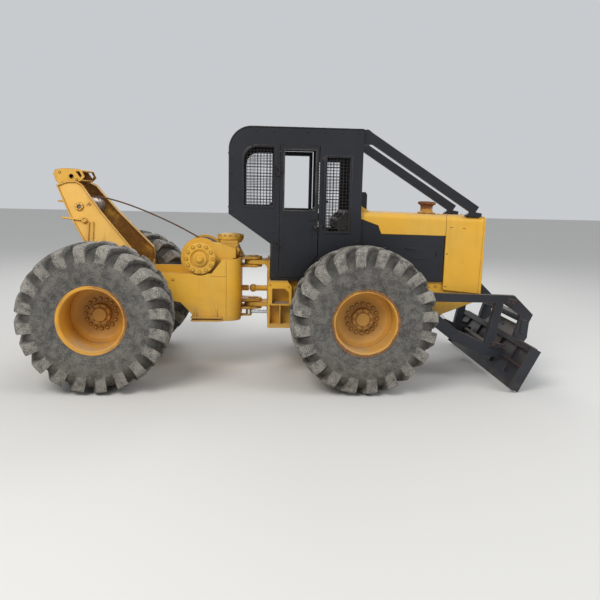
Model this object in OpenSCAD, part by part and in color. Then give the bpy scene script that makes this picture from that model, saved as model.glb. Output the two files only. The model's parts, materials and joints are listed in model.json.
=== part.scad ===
// Cable skidder: a four-wheel logging tractor that steers by bending at its middle. It has a front
// blade, a guarded cab, and a winch, an arch and a butt plate on its rear frame.
// Lengths are in millimetres. X points forward, Y to the machine's left and Z up from the ground.
// Front pieces are drawn from the front axle, rear pieces from the rear axle.

/* [Layout] */
// Front axle to the steering pivot
pivot_reach = 1180; // [1170:5:1260]
// Steering pivot to the rear axle
rear_reach = 1600; // [1560:10:1700]
// Front axle to the tip of the blade frame
blade_reach = 2040; // [2000:10:2100]
// Rear axle to the back of the butt plate
tail_reach = 910; // [900:10:960]
// Middle of the machine to the middle of each tyre
wheel_y = 995; // [990:5:1040]

/* [Wheels] */
// Diameter over the lugs
tyre_od = 1560; // [1520:10:1580]
// Width of a tyre
tyre_w = 590; // [560:5:596]
// Lugs on each half of a tyre
lug_count = 20; // [18:1:22]
// Height of a lug above the casing
lug_h = 46; // [36:2:52]
// Sweep of a lug from the shoulder to the middle, in degrees
lug_sweep = 12; // [6:1:16]
// Diameter of the rim where the tyre sits
rim_d = 660; // [640:5:680]
// Width of the rim between its flanges
rim_w = 508; // [480:4:520]
// Thickness of the rim's barrel
rim_wall = 14; // [10:1:18]
// Outer rim edge to the front disc
front_dish = 280; // [240:5:300]
// Outer rim edge to the rear disc
rear_dish = 400; // [360:5:410]
// Radius of the spindle that a wheel turns on
spindle_r = 60; // [50:1:70]
// Radius of the axle tube
axle_r = 100; // [90:2:110]
// Radius of the differential's bulge
bulge_r = 190; // [170:5:200]

/* [Front frame] */
// Outside of the front frame's side plates, from the middle
frame_y = 420; // [400:5:430]
// Thickness of the frame plates
frame_t = 25; // [20:1:32]
// Underside of the frames
frame_low = 610; // [600:5:640]
// Top of the front frame
frame_top = 1110; // [1080:5:1110]
// Steering pivot to the front frame's rear wall
front_gap = 170; // [165:5:200]
// Front axle to the front end of the frame
frame_front = 1457; // [1420:5:1460]
// Outside of the step blocks, from the middle
step_y = 620; // [600:5:640]
// Length of a step block
step_l = 265; // [240:5:280]

/* [Steering pivot] */
// Radius of the pivot pins
pivot_pin_r = 40; // [34:1:46]
// Radius of the lugs' round ends
pivot_lug_r = 105; // [95:1:110]
// Thickness of a front lug
pivot_lug_t = 50; // [40:2:56]
// Thickness of each rear lug plate
clevis_t = 30; // [24:1:34]
// Middle height of the lower lug
pivot_low_z = 770; // [760:5:790]
// Middle height of the upper lug
pivot_high_z = 1275; // [1265:5:1275]

/* [Rear frame] */
// Outside of the rear frame's side plates, from the middle
rear_y = 440; // [430:2:440]
// Radius of the rear frame's front corners
rear_round = 160; // [155:5:180]
// Steering pivot to the rear frame's front face
rear_gap = 140; // [135:5:160]
// Top of the rear frame's front part
rear_top = 1337; // [1335:1:1345]
// Top edge of the side plates behind the winch
rear_waist = 1170; // [1150:5:1190]
// Rear axle to the back end of the rear frame
rear_tail = 420; // [380:10:460]

/* [Cab] */
// Outside of the cab's sides, from the middle
cab_y = 500; // [480:5:505]
// Thickness of the cab's walls and doors
cab_t = 45; // [38:1:50]
// Top of the roof
cab_top = 2800; // [2760:5:2840]
// Roof's top down to the doors' top edges
door_drop = 200; // [190:5:220]
// Top of the cab floor
cab_floor_z = 1140; // [1140:5:1160]
// Thickness of the cab floor
floor_t = 30; // [24:1:30]
// Front axle back to the cab's rear face
cab_rear = 1455; // [1430:5:1470]
// Front axle to the cab's front face
cab_front = 24; // [10:2:30]
// Front axle back to the low part of the cab's rear wall
cab_low_rear = 980; // [960:5:984]
// Radius of the roof's rear corner
cab_round = 255; // [220:5:280]
// Front axle back to the doors' rear edges
door_rear = 888; // [880:2:890]
// Front axle back to the doors' front edges
door_front = 462; // [458:2:470]
// Gap round a door
door_gap = 6; // [5:0.5:9]
// Gap ahead of a door, whose inner corner swings out
door_front_gap = 11; // [11:0.5:14]
// Mesh of the window guards
mesh_pitch = 52; // [45:1:60]
// Width of the mesh's bars
mesh_bar = 8; // [6:0.5:10]

/* [Hood] */
// Outside of the hood and nose, from the middle
hood_y = 450; // [440:2:452]
// Thickness of the hood's skin
hood_t = 20; // [16:1:24]
// Top of the hood at the cab
hood_top = 1900; // [1880:5:1920]
// Radius of the hood's top edges
hood_round = 62; // [50:2:70]
// Front axle to the seam between hood and nose
hood_seam = 1015; // [1005:5:1025]
// Front axle to the front of the nose
nose_front = 1468; // [1465:1:1480]

/* [Blade] */
// Half of the blade's width
blade_y = 1120; // [1080:10:1160]
// Height of the curved blade plate
blade_h = 512; // [490:2:530]
// Lean of the blade, in degrees
blade_lean = 26.5; // [24:0.5:28]
// Radius of the blade's curve
blade_curve = 1000; // [900:20:1200]
// Thickness of the blade plate
blade_t = 22; // [18:1:26]
// Inside of the blade's arms, from the middle
arm_in = 550; // [546:2:556]
// Thickness of the arms
arm_t = 68; // [60:1:70]
// Front axle to the arms' pivot
arm_pivot_x = 730; // [715:5:745]
// Height of the arms' pivot
arm_pivot_z = 950; // [940:5:955]
// Radius of the arms' pins
arm_pin_r = 38; // [32:1:42]

/* [Cylinders] */
// Radius of the barrels
barrel_r = 42; // [38:1:45]
// Radius of the rods
rod_r = 21; // [18:1:24]
// Radius of the pins at the barrels
cyl_pin_r = 20; // [16:1:22]
// Width of the eyes
eye_w = 56; // [50:2:60]
// Middle of the machine to a steering cylinder's rear end
steer_eye_y = 235; // [225:5:245]
// Steering pivot back to a steering cylinder's rear end
steer_eye_back = 45; // [40:1:50]
// Middle of the machine to a steering cylinder's front end
steer_base_y = 270; // [265:5:290]
// Height of the steering cylinders
steer_z = 706; // [700:2:712]
// Middle of the machine to a lift cylinder
lift_y = 497; // [494:1:500]

/* [Winch and arch] */
// Rear axle to the winch drum
drum_x = 1000; // [980:5:1020]
// Height of the winch drum
drum_z = 1337; // [1330:1:1345]
// Radius over the cable on the drum
wrap_r = 165; // [150:5:175]
// Radius of the drum's flanges
drum_flange_r = 205; // [195:5:212]
// Radius of the drum's shaft
drum_shaft_r = 45; // [40:1:50]
// Radius of the winch's end covers
cover_r = 176; // [165:1:180]
// Radius of the cable
cable_r = 9; // [7:0.5:11]
// Slope of the arch's legs towards the middle, in degrees
arch_splay = 16.7; // [15:0.1:18]
// Outside of the arch's legs at their feet, from the middle
arch_foot_y = 610; // [600:2:616]
// Thickness of the arch's plates
arch_t = 22; // [18:1:26]
// Width of the arch's flanges
arch_flange = 60; // [50:2:66]
// Half of the butt plate's width
butt_y = 590; // [560:5:610]

/* [Hidden] */
$fn = 72;
// Radial play of a pin or shaft in its bore
fit = 0.05;
// Gap where two fixed pieces meet
seat = 0.3;
// Least gap between pieces that move
run = 6;

wheelbase = pivot_reach + rear_reach;
front_x = (wheelbase + tail_reach - blade_reach) / 2;
pivot_x = front_x - pivot_reach;
rear_x = front_x - wheelbase;
lug_pitch = 360 / lug_count;
// Share of a pitch at which the four edges of the lugs lie
lug_edges = [0, 0.18, 0.5, 0.68];
// The tyre stands on the edges of two lugs, one on each half, this far from its lowest point
tip_angle = 0.09 * lug_pitch;
axle_z = tyre_od / 2 * cos(tip_angle);
seat_r = rim_d / 2;
front_disc = rim_w / 2 - front_dish;
rear_disc = rim_w / 2 - rear_dish;
hood_fall = 1.35;

// Placing

module on_front() {
    translate([front_x, 0, 0]) children();
}

module on_rear() {
    translate([rear_x, 0, 0]) children();
}

module mirrored() {
    children();
    mirror([0, 1, 0]) children();
}

// Draws a left piece, or its mirror for side -1
module on_side(side) {
    if (side > 0) children();
    else mirror([0, 1, 0]) children();
}

// A flat outline in X and Z, made solid from y0 to y1
module slab(y0, y1) {
    translate([0, y1, 0]) rotate([90, 0, 0]) linear_extrude(y1 - y0) children();
}

// A round bar along Y at x and z
module bar_y(x, z, r, y0, y1) {
    translate([x, y1, z]) rotate([90, 0, 0]) cylinder(r = r, h = y1 - y0);
}

// A round bar along X
module bar_x(x0, x1, y, z, r) {
    translate([x0, y, z]) rotate([0, 90, 0]) cylinder(r = r, h = x1 - x0);
}

// A block from one corner to the opposite one
module block(a, b) {
    translate(a) cube(b - a);
}

// A turned piece about the wheel axis: outline of radius and distance outwards
module turned(side) {
    rotate([side > 0 ? -90 : 90, 0, 0]) rotate_extrude() children();
}

// Wheels

// Rows of a tyre from its middle outwards: [radius between lugs, radius on a lug, distance, sweep share]
tyre_rows = [
    [tyre_od / 2 - lug_h, tyre_od / 2, 18, 1],
    [tyre_od / 2 - lug_h - 6, tyre_od / 2 - 5, tyre_w / 4, 0.5],
    [tyre_od / 2 - 2 * lug_h, tyre_od / 2 - 38, tyre_w / 2 - 6, 0],
    [(tyre_od + rim_d) / 4 - 20, (tyre_od + rim_d) / 4 - 20, tyre_w / 2, 0],
    [seat_r + 1.5, seat_r + 1.5, rim_w / 2 - 10, 0]
];

function column_angle(j, sweep) =
    (floor(j / 4) + lug_edges[j % 4] - 0.59) * lug_pitch + 180 + lug_sweep * (sweep - 1);

// On the left half the lugs fill the second gap between edges, on the right half the fourth
function on_lug(j, side) = side > 0 ? (j % 4 == 1 || j % 4 == 2) : (j % 4 == 3 || j % 4 == 0);

function tyre_point(row, side, j) =
    let (r = on_lug(j, side) ? row[1] : row[0], a = column_angle(j, row[3]))
    [r * sin(a), side * row[2], r * cos(a)];

module tyre(x, side) {
    n = 4 * lug_count;
    half = n / 2;
    last = len(tyre_rows) - 1;
    // Full rows run from the right side to the left side, and the two bead rows have half the columns
    full = [
        for (i = [last - 1:-1:0]) [tyre_rows[i], -1],
        for (i = [0:last - 1]) [tyre_rows[i], 1]
    ];
    rows = len(full);
    points = [
        for (row = full) for (j = [0:n - 1]) tyre_point(row[0], row[1], j),
        for (side = [-1, 1]) for (m = [0:half - 1]) tyre_point(tyre_rows[last], side, 2 * m)
    ];
    right = rows * n;
    left = right + half;
    faces = [
        for (i = [0:rows - 2]) for (j = [0:n - 1]) let (k = (j + 1) % n)
            each [[i * n + j, (i + 1) * n + j, (i + 1) * n + k], [i * n + j, (i + 1) * n + k, i * n + k]],
        for (m = [0:half - 1]) let (k = (m + 1) % half, a = 2 * m, b = 2 * m + 1, c = (2 * m + 2) % n)
            each [
                [right + m, a, b],
                [right + m, b, c],
                [right + m, c, right + k],
                [(rows - 1) * n + a, left + m, (rows - 1) * n + b],
                [(rows - 1) * n + b, left + m, left + k],
                [(rows - 1) * n + b, left + k, (rows - 1) * n + c],
                [left + m, right + m, right + k],
                [left + m, right + k, left + k]
            ]
    ];
    color([0.42, 0.43, 0.44]) translate([x, side * wheel_y, axle_z]) polyhedron(points, faces);
}

// A rim, its disc and the hub, as one turned outline
module rim(x, side, disc) {
    inner = seat_r - rim_wall;
    edge = rim_w / 2;
    flange_r = seat_r + 27;
    bore = spindle_r + fit;
    outline = [
        [0, disc + 85], [70, disc + 85], [76, disc + 60], [110, disc + 60], [116, disc], [190, disc],
        [270, disc + 35], [inner, disc + 35], [inner, edge], [inner + 8, edge + 12],
        [flange_r, edge + 12], [flange_r, edge], [seat_r, edge], [seat_r, -edge], [flange_r, -edge],
        [flange_r, -edge - 12], [inner + 8, -edge - 12], [inner, -edge], [inner, disc + 15],
        [278, disc + 15], [198, disc - 22], [125, disc - 22], [125, disc - 60], [bore, disc - 60],
        [bore, disc + 30], [0, disc + 30]
    ];
    color([0.78, 0.53, 0.14]) translate([x, side * wheel_y, axle_z]) turned(side) polygon(outline);
}

// An axle: differential bulge, tube, hub drums and spindles
module axle(x, disc) {
    hub = wheel_y + disc;
    drum = hub - 60 - run;
    half = [
        [bulge_r - 40, 0], [bulge_r, 30], [bulge_r, 90], [150, 190], [axle_r, 270], [axle_r, drum - 150],
        [150, drum - 130], [150, drum], [spindle_r, drum], [spindle_r, hub + 30 - run]
    ];
    outline = concat([[0, -half[9][1]]], [for (i = [9:-1:0]) [half[i][0], -half[i][1]]], half,
                     [[0, half[9][1]]]);
    color([0.78, 0.58, 0.22]) translate([x, 0, axle_z]) turned(1) polygon(outline);
}

// Front frame

trunnion_r = 60;
trunnion_x = 260;

module front_side_plate() {
    slab(frame_y - frame_t, frame_y) polygon([
        [-pivot_reach + front_gap, frame_low], [-170, frame_low], [-150, 900], [-100, 980], [100, 980],
        [150, 900], [170, frame_low], [350, frame_low], [1030, 730], [frame_front, 897],
        [frame_front, nose_under(frame_front) - seat], [hood_seam, nose_under(hood_seam) - seat],
        [hood_seam, frame_top], [-pivot_reach + front_gap, frame_top]
    ]);
}

// Height of the nose's lower edge at x
function nose_under(x) = 1022 - (x - hood_seam) * 0.09;

// A lug plate from a wall at x = reach to a round end about the origin, seen from above
module pivot_lug(reach, z, t, bore) {
    translate([0, 0, z - t / 2]) linear_extrude(t) difference() {
        union() {
            circle(r = pivot_lug_r);
            polygon([
                [0, -pivot_lug_r], [reach, -pivot_lug_r * 1.3], [reach, pivot_lug_r * 1.3], [0, pivot_lug_r]
            ]);
        }
        if (bore > 0) circle(r = bore);
    }
}

module front_frame() {
    color([0.80, 0.61, 0.24]) on_front() mirrored() front_side_plate();
}

// The wall behind the cab, with its tower and the two lugs of the steering pivot
module front_wall() {
    x = -pivot_reach + front_gap;
    inner = frame_y - frame_t - seat;
    color([0.80, 0.61, 0.24]) on_front() {
        difference() {
            block([x, -inner, frame_low], [x + frame_t, inner, frame_top]);
            // Ways for the steering cylinders
            mirrored() block([x - 1, 125, frame_low + 30], [x + frame_t + 1, inner - 25, steer_z + 90]);
            // Way for the drive shaft
            bar_x(x - 1, x + frame_t + 1, 0, shaft_z, 90);
        }
        // Tower that carries the upper lug, and its gussets
        block([x, -250, frame_top - 1], [x + frame_t - 2, 250, pivot_high_z + 45]);
        mirrored() slab(150, 170) polygon([
            [x + 1, pivot_high_z + pivot_lug_t / 2], [x + 1, pivot_high_z - pivot_lug_t / 2 - 40],
            [x - 30, pivot_high_z - pivot_lug_t / 2], [x - 30, pivot_high_z + pivot_lug_t / 2]
        ]);
        for (z = [pivot_low_z, pivot_high_z])
            translate([-pivot_reach, 0, 0]) pivot_lug(front_gap + 1, z, pivot_lug_t, pivot_pin_r + fit);
    }
}

belly_t = 14;
shaft_z = 950;

// What lies between the side plates: belly plates, trunnion walls, engine rests, front wall and drive shaft
module front_floor() {
    inner = frame_y - frame_t - seat;
    wall = -pivot_reach + front_gap;
    color([0.80, 0.61, 0.24]) on_front() {
        // Belly plate, in two parts round the axle
        block([wall + frame_t + seat, -inner, frame_low], [-trunnion_x - frame_t - seat, inner,
            frame_low + belly_t]);
        block([trunnion_x + frame_t + seat, -inner, frame_low], [350, inner, frame_low + belly_t]);
        mirrored() steer_post();
        // Walls that hold the axle's trunnions, and the engine's two rests
        for (x = [-trunnion_x - frame_t, trunnion_x]) difference() {
            block([x, -inner, frame_low], [x + frame_t, inner, 899]);
            bar_x(x - 1, x + frame_t + 1, 0, axle_z, trunnion_r + seat);
        }
        for (x = [330, 850]) block([x, -inner, 900], [x + 80, inner, 980]);
        block([frame_front - frame_t, -inner, 890], [frame_front, inner, nose_under(frame_front) - seat]);
        // Drive shaft, with the ball of its joint at the steering pivot
        translate([-pivot_reach, 0, shaft_z]) sphere(r = 48);
        bar_x(-pivot_reach + 30, wall + 120, 0, shaft_z, 34);
        bar_x(wall + 90, -trunnion_x - frame_t - seat, 0, shaft_z, 60);
    }
}

// Post with the pin and washer of a steering barrel, standing on the belly plate
module steer_post() {
    low = frame_low + belly_t + seat;
    collar = cyl_pin_r + 6;
    translate([steer_base_x, steer_base_y, low]) rotate_extrude() polygon([
        [0, 0], [40, 0], [40, steer_z - barrel_r - run - low], [collar, steer_z - barrel_r - run - low],
        [collar, steer_z - eye_w / 2 - 2 - low], [cyl_pin_r, steer_z - eye_w / 2 - 2 - low],
        [cyl_pin_r, steer_z + eye_w / 2 + 2 - low], [collar, steer_z + eye_w / 2 + 2 - low],
        [collar, steer_z + eye_w / 2 + 12 - low], [0, steer_z + eye_w / 2 + 12 - low]
    ]);
}

// A boss on a side plate with its pin and washer: distances are from the middle of the machine
module boss_pin(x, z, boss_r, boss_end, pin_r, washer_r, washer_in, washer_out) {
    foot = frame_y + seat;
    translate([x, foot, z]) rotate([-90, 0, 0]) rotate_extrude() polygon([
        [0, 0], [boss_r, 0], [boss_r, boss_end - foot], [pin_r, boss_end - foot], [pin_r, washer_in - foot],
        [washer_r, washer_in - foot], [washer_r, washer_out - foot], [0, washer_out - foot]
    ]);
}

// Pins of the blade's arms and of the lift cylinders
module frame_pins() {
    arm_out = arm_in + arm_t + run;
    eye_in = lift_y - eye_w / 2 - 2;
    eye_out = lift_y + eye_w / 2 + 2;
    color([0.70, 0.55, 0.24]) on_front() mirrored() {
        boss_pin(arm_pivot_x, arm_pivot_z, 60, arm_in - run, arm_pin_r, 52, arm_out, arm_out + 10);
        boss_pin(lift_base[0], lift_base[1], cyl_pin_r + 6, eye_in, cyl_pin_r, cyl_pin_r + 6, eye_out,
            eye_out + 6);
    }
}

tow_r = 22;
tow_z = 930;
tow_x = frame_front + 52;

// Lug with an upright bore on the front wall
module tow_lug() {
    color([0.80, 0.61, 0.24]) on_front() translate([0, 0, tow_z - 20]) linear_extrude(40) difference() {
        union() {
            translate([tow_x, 0]) circle(r = 40);
            polygon([[frame_front + seat, -60], [tow_x, -40], [tow_x, 40], [frame_front + seat, 60]]);
        }
        translate([tow_x, 0]) circle(r = tow_r);
    }
}

module front_axle() {
    axle(front_x, front_disc);
    // Trunnions ahead of and behind the bulge
    color([0.78, 0.58, 0.22]) on_front() {
        bar_x(-trunnion_x - frame_t, 10 - bulge_r, 0, axle_z, trunnion_r);
        bar_x(bulge_r - 10, trunnion_x + frame_t, 0, axle_z, trunnion_r);
    }
}

module engine_block() {
    color([0.45, 0.45, 0.42]) on_front() {
        difference() {
            block([250, -270, 980 + seat], [930, 270, 1620]);
            block([249, -271, 979], [330, -180, 1150]);
            block([249, 180, 979], [330, 271, 1150]);
        }
    }
}

// Step blocks beside the front frame, below the doors
module step_block() {
    x0 = -pivot_reach + front_gap;
    x1 = x0 + step_l;
    difference() {
        slab(frame_y + seat, step_y) polygon([
            [x0, frame_low - 20], [x1 - 20, frame_low - 20], [x1, frame_low], [x1, 1060], [x1 - 40,
                cab_floor_z - floor_t],
            [x0 + 10, cab_floor_z - floor_t], [x0, 1100]
        ]);
        // Upper step pocket and lower recess
        slab(step_y - 150, step_y + 1) polygon([
            [x0 + 50, 865], [x1 - 30, 865], [x1 - 30, 990], [x1 - 75, 1035], [x0 + 50, 1035]
        ]);
        block([x0 + 25, step_y - 120, frame_low + 25], [x0 + 130, step_y + 1, 845]);
        block([x0 + 145, step_y - 120, frame_low + 25], [x1 + 1, step_y + 1, 845]);
    }
}

module step_blocks() {
    color([0.82, 0.63, 0.25]) on_front() mirrored() step_block();
}

// Hood and nose

module hood_section(y, top, wall) {
    r = hood_round - wall;
    union() {
        translate([-y + wall, 0]) square([2 * (y - wall), top - wall - r]);
        translate([-y + wall + r, 0]) square([2 * (y - wall - r), top - wall]);
        for (s = [-1, 1]) translate([s * (y - wall - r), top - wall - r]) circle(r = r);
    }
}

// A skin along X from x0 to x1 with a rounded top, its height given at the cab
module hood_skin(x0, x1) {
    rotate([0, hood_fall, 0]) translate([x0, 0, 0]) rotate([90, 0, 90]) linear_extrude(x1 - x0)
        difference() {
            hood_section(hood_y, hood_top, 0);
            hood_section(hood_y, hood_top, hood_t);
        }
}

// The line between the hood and the black side panels
hood_edge = [[20, 1824], [230, 1750], [270, 1655], [1100, 1645]];

// Height of the cowl at x
function cowl_at(x) = 1898 + (150 - x) * 0.587;

module hood() {
    color([0.83, 0.64, 0.25]) on_front() {
        difference() {
            hood_skin(-60, hood_seam + 80);
            // Everything below the edge line, behind the cab's front and ahead of the seam
            slab(-hood_y - 50, hood_y + 50)
                polygon(concat([[-200, 1834]], hood_edge, [[1300, 1640], [1300, -200], [-200, -200]]));
            block([-200, -600, 800], [cab_front + seat, 600, 2200]);
            block([hood_seam - 1.5, -600, 800], [hood_seam + 400, 600, 2200]);
        }
        // Cowl that rises to the cab
        slab(-hood_y + 70, hood_y - 70) polygon([
            [cab_front + seat, cowl_at(150) - 4], [150, cowl_at(150) - 4], [150, cowl_at(150)],
            [cab_front + seat, cowl_at(cab_front + seat)]
        ]);
    }
}

module side_panels() {
    y = hood_y - hood_t;
    color([0.13, 0.14, 0.18]) on_front() mirrored() {
        slab(y, hood_y) polygon([
            [cab_front + seat, frame_top + 6], [hood_seam - 15, frame_top + 6], [hood_seam - 15, 1643],
            [266, 1652], [226, 1746], [cab_front + seat, 1818]
        ]);
        // Rib along the panel and the round latch
        slab(hood_y - 1, hood_y + 8) polygon([
            [640, 1380], [860, 1372], [860, 1392], [640, 1400]
        ]);
        bar_y(940, 1440, 26, hood_y - 1, hood_y + 14);
    }
}

module nose() {
    color([0.83, 0.64, 0.25]) on_front() difference() {
        union() {
            hood_skin(hood_seam - 80, nose_front + 60);
            // Raised band round the front edge
            difference() {
                hood_skin_band(nose_front - 58, nose_front, 4);
                slab(-600, 600) polygon([[900, -200], [1700, -200], [1700, 900], [900, 900]]);
            }
        }
        block([900, -600, 800], [hood_seam + 1.5, 600, 2200]);
        block([nose_front, -600, 700], [nose_front + 200, 600, 2200]);
        slab(-600, 600) polygon([
            [900, nose_under(900)], [1700, nose_under(1700)], [1700, -200], [900, -200]
        ]);
    }
}

module hood_skin_band(x0, x1, proud) {
    rotate([0, hood_fall, 0]) translate([x0, 0, 0]) rotate([90, 0, 90]) linear_extrude(x1 - x0)
        difference() {
            hood_section(hood_y + proud, hood_top + proud, 0);
            hood_section(hood_y, hood_top, hood_t / 2);
        }
}

// Radiator grille: a frame, slats and the core behind them
slat_count = 13;
module grille() {
    y = hood_y - hood_t - seat;
    top = hood_top_at(nose_front) - hood_t - 1;
    cut = hood_round - hood_t;
    low = nose_under(nose_front - 40) + 4;
    x1 = nose_front - 10;
    pitch = (top - low - 80) / slat_count;
    color([0.10, 0.10, 0.12]) on_front() {
        slab_x(x1 - 40, x1) difference() {
            polygon([[-y, low], [y, low], [y, top - cut], [y - cut, top], [cut - y, top], [-y, top - cut]]);
            translate([-y + 40, low + 40]) square([2 * y - 80, top - low - 80]);
        }
        for (i = [0:slat_count - 1])
            translate([x1 - 20, 0, low + 40 + pitch * (i + 0.5)]) rotate([0, 35, 0])
                cube([34, 2 * y - 60, 5], center = true);
        block([x1 - 38, -20, low + 20], [x1 - 2, 20, top - 20]);
        block([x1 - 170, -y + 30, low + 30], [x1 - 60, y - 30, top - 60]);
        mirrored() block([x1 - 62, y - 70, low + 60], [x1 - 38, y - 30.5, top - 100]);
    }
}

module hood_box() {
    color([0.12, 0.13, 0.17]) on_front() difference() {
        slab(-170, 170) polygon([
            [cab_front + seat, cowl_at(cab_front) + seat], [138, cowl_at(138) + seat], [138, 2090], [120,
                2120],
            [cab_front + seat, 2120]
        ]);
        slab(-150, 150) polygon([
            [cab_front + 30, 1995], [90, 1975], [118, 1975], [118, 2080], [cab_front + 30, 2100]
        ]);
    }
}

module exhaust() {
    base = hood_top_at(890) + seat;
    color([0.50, 0.36, 0.22]) on_front() translate([890, 0, base]) rotate([0, hood_fall,
        0]) rotate_extrude() polygon([
        [0, 0], [105, 0], [105, 16], [78, 26], [72, 36], [72, 92], [84, 104], [106, 118], [106, 138],
            [84, 146], [0, 150]
    ]);
}

// Height of the hood's top at x
function hood_top_at(x) = (hood_top - x * sin(hood_fall)) / cos(hood_fall);

// Cab

module cab_outline() {
    difference() {
        polygon([
            [-cab_rear, 1850], [-cab_rear, cab_top], [cab_front, cab_top], [cab_front,
                cab_floor_z - floor_t],
            [-cab_low_rear, cab_floor_z - floor_t], [-cab_low_rear, cab_knee]
        ]);
        translate([-cab_rear, cab_top - cab_round]) difference() {
            translate([-1, 0]) square(cab_round + 1);
            translate([cab_round, 0]) circle(r = cab_round);
        }
    }
}

cab_knee = 1520;
door_low = cab_floor_z + 10;
door_high = cab_top - door_drop;

// A door's outline, grown by g and by ahead at its front: the lower front corner is cut away for the tyre
module door_outline(g, ahead) {
    polygon([
        [-door_rear - g, door_low - g], [-640 + ahead / 2, door_low - g], [-door_front + ahead,
            1400 - ahead / 2],
        [-door_front + ahead, door_high + g], [-door_rear - g, door_high + g]
    ]);
}

// Windows of a side: [rear edge, front edge, low, high, radius of the upper rear corner]
rear_window = [-1290, -960, 1940, door_high - 20, 150];
front_window = [-376, -113, 1670, door_high - 114, 12];
door_window = [-door_rear + 43, -door_front - 34, 1900, door_high - 44, 12];

module window_outline(w, g) {
    difference() {
        translate([w[0] - g, w[2] - g]) square([w[1] - w[0] + 2 * g, w[3] - w[2] + 2 * g]);
        translate([w[0] - g - 1, w[3] + g - w[4]]) difference() {
            square(w[4] + 1);
            translate([w[4] + 1, 0]) circle(r = w[4]);
        }
    }
}

// Heights of the hinges of a door
hinge_z = [1520, door_high - 270];
hinge_r = 11;
hinge_pin_r = 5;
hinge_y = cab_y + hinge_r + run;
hinge_x = -door_rear - 12;
knuckle_h = 36;
// Length of a door's hinge strap, which ends short of the window
strap_l = door_window[0] - hinge_x - 10;

module cab_side(side) {
    color([0.13, 0.14, 0.18]) on_front() on_side(side) {
        slab(cab_y - cab_t, cab_y) difference() {
            cab_outline();
            door_outline(door_gap, door_front_gap);
            window_outline(rear_window, 0);
            window_outline(front_window, 0);
        }
        // Fixed hinge knuckles and their pins
        for (z = hinge_z) {
            translate([hinge_x, hinge_y, z - 1.5 * knuckle_h - 2]) cylinder(r = hinge_pin_r,
                h = 3 * knuckle_h + 4);
            for (s = [-1, 1]) translate([hinge_x, hinge_y, z + s * (knuckle_h + 1.5) - knuckle_h / 2]) {
                cylinder(r = hinge_r, h = knuckle_h);
                translate([-34, cab_y - hinge_y - 1, 0]) cube([34, hinge_y - cab_y + 5, knuckle_h]);
            }
        }
    }
}

module door(side) {
    color([0.15, 0.16, 0.20]) on_front() on_side(side) {
        difference() {
            slab(cab_y - cab_t, cab_y) difference() {
                door_outline(0, 0);
                window_outline(door_window, 0);
            }
            // Shallow field in the lower panel
            slab(cab_y - 4, cab_y + 1) polygon([
                [-door_rear + 40, door_low + 50], [-680, door_low + 50], [-door_front - 50, 1440],
                [-door_front - 50, 1850], [-door_rear + 40, 1850]
            ]);
        }
        for (z = hinge_z) translate([hinge_x, hinge_y, z - knuckle_h / 2]) {
            difference() {
                union() {
                    cylinder(r = hinge_r, h = knuckle_h);
                    translate([6, cab_y - hinge_y - 1, 0]) cube([strap_l, hinge_y - cab_y + 1 - 4,
                        knuckle_h]);
                }
                translate([0, 0, -1]) cylinder(r = hinge_pin_r + fit, h = knuckle_h + 2);
                translate([-20, cab_y - hinge_y - 2, -1]) cube([20 + 12 + 1, run + 1, knuckle_h + 2]);
            }
        }
        // Latch handle
        translate([-door_front - 70, cab_y, 1800]) cube([44, 10, 20]);
        translate([-door_front - 110, cab_y + 8, 1804]) cube([84, 10, 12]);
    }
}

module cab_roof() {
    inner = cab_y - cab_t - seat;
    x0 = -cab_rear + cab_round;
    color([0.12, 0.13, 0.17]) on_front() {
        // Top plate with its front header, then the round rear corner
        block([x0, -inner, cab_top - 60], [cab_front, inner, cab_top]);
        block([-60, -inner, cab_top - 180], [cab_front, inner, cab_top - 59]);
        translate([x0, 0, cab_top - cab_round]) slab(-inner, inner) quarter_ring(cab_round, cab_t, 0);
    }
}

// A quarter of a ring from straight up, less trim, to straight back: r outside, t thick
module quarter_ring(r, t, trim) {
    intersection() {
        difference() {
            circle(r = r, $fn = 180);
            circle(r = r - t, $fn = 180);
        }
        translate([-r - 1, 0]) square([r + 1 - trim, r + 1]);
    }
}

rear_glass = [-360, 360, 1960, door_high - 120];

module cab_rear() {
    inner = cab_y - cab_t - seat;
    color([0.12, 0.13, 0.17]) on_front() {
        difference() {
            block([-cab_rear, -inner, 1850], [-cab_rear + cab_t, inner, cab_top - cab_round - seat]);
            block([-cab_rear - 1, rear_glass[0], rear_glass[2]], [-cab_rear + cab_t + 1, rear_glass[1],
                rear_glass[3]]);
        }
        // Sloping panel and the low wall
        slab(-inner, inner) polygon([
            [-cab_rear, 1850], [-cab_low_rear, cab_knee], [-cab_low_rear, cab_floor_z + seat],
            [-cab_low_rear + 40, cab_floor_z + seat], [-cab_low_rear + 40, cab_knee + 26],
            [-cab_rear + cab_t, 1875], [-cab_rear + cab_t, 1900], [-cab_rear, 1900]
        ]);
    }
}

front_glass = [-395, 395, 1990, door_high];

module cab_front() {
    inner = cab_y - cab_t - seat;
    color([0.12, 0.13, 0.17]) on_front() difference() {
        block([cab_front - 40, -inner, cab_floor_z + seat], [cab_front, inner, cab_top - 180 - seat]);
        block([cab_front - 41, front_glass[0], front_glass[2]], [cab_front + 1, front_glass[1],
            front_glass[3]]);
    }
}

module cab_floor() {
    inner = cab_y - cab_t - seat;
    color([0.14, 0.14, 0.16]) on_front()
        block([-cab_low_rear, -inner, cab_floor_z - floor_t], [cab_front, inner, cab_floor_z]);
}

// A guard of crossing bars inside a rectangle, as one outline with square holes
module guard(w, h) {
    across = floor((w - mesh_bar) / mesh_pitch);
    up = floor((h - mesh_bar) / mesh_pitch);
    px = (w - mesh_bar) / across;
    py = (h - mesh_bar) / up;
    difference() {
        square([w, h]);
        for (i = [0:across - 1]) for (j = [0:up - 1])
            translate([mesh_bar + i * px, mesh_bar + j * py]) square([px - mesh_bar, py - mesh_bar]);
    }
}

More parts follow.
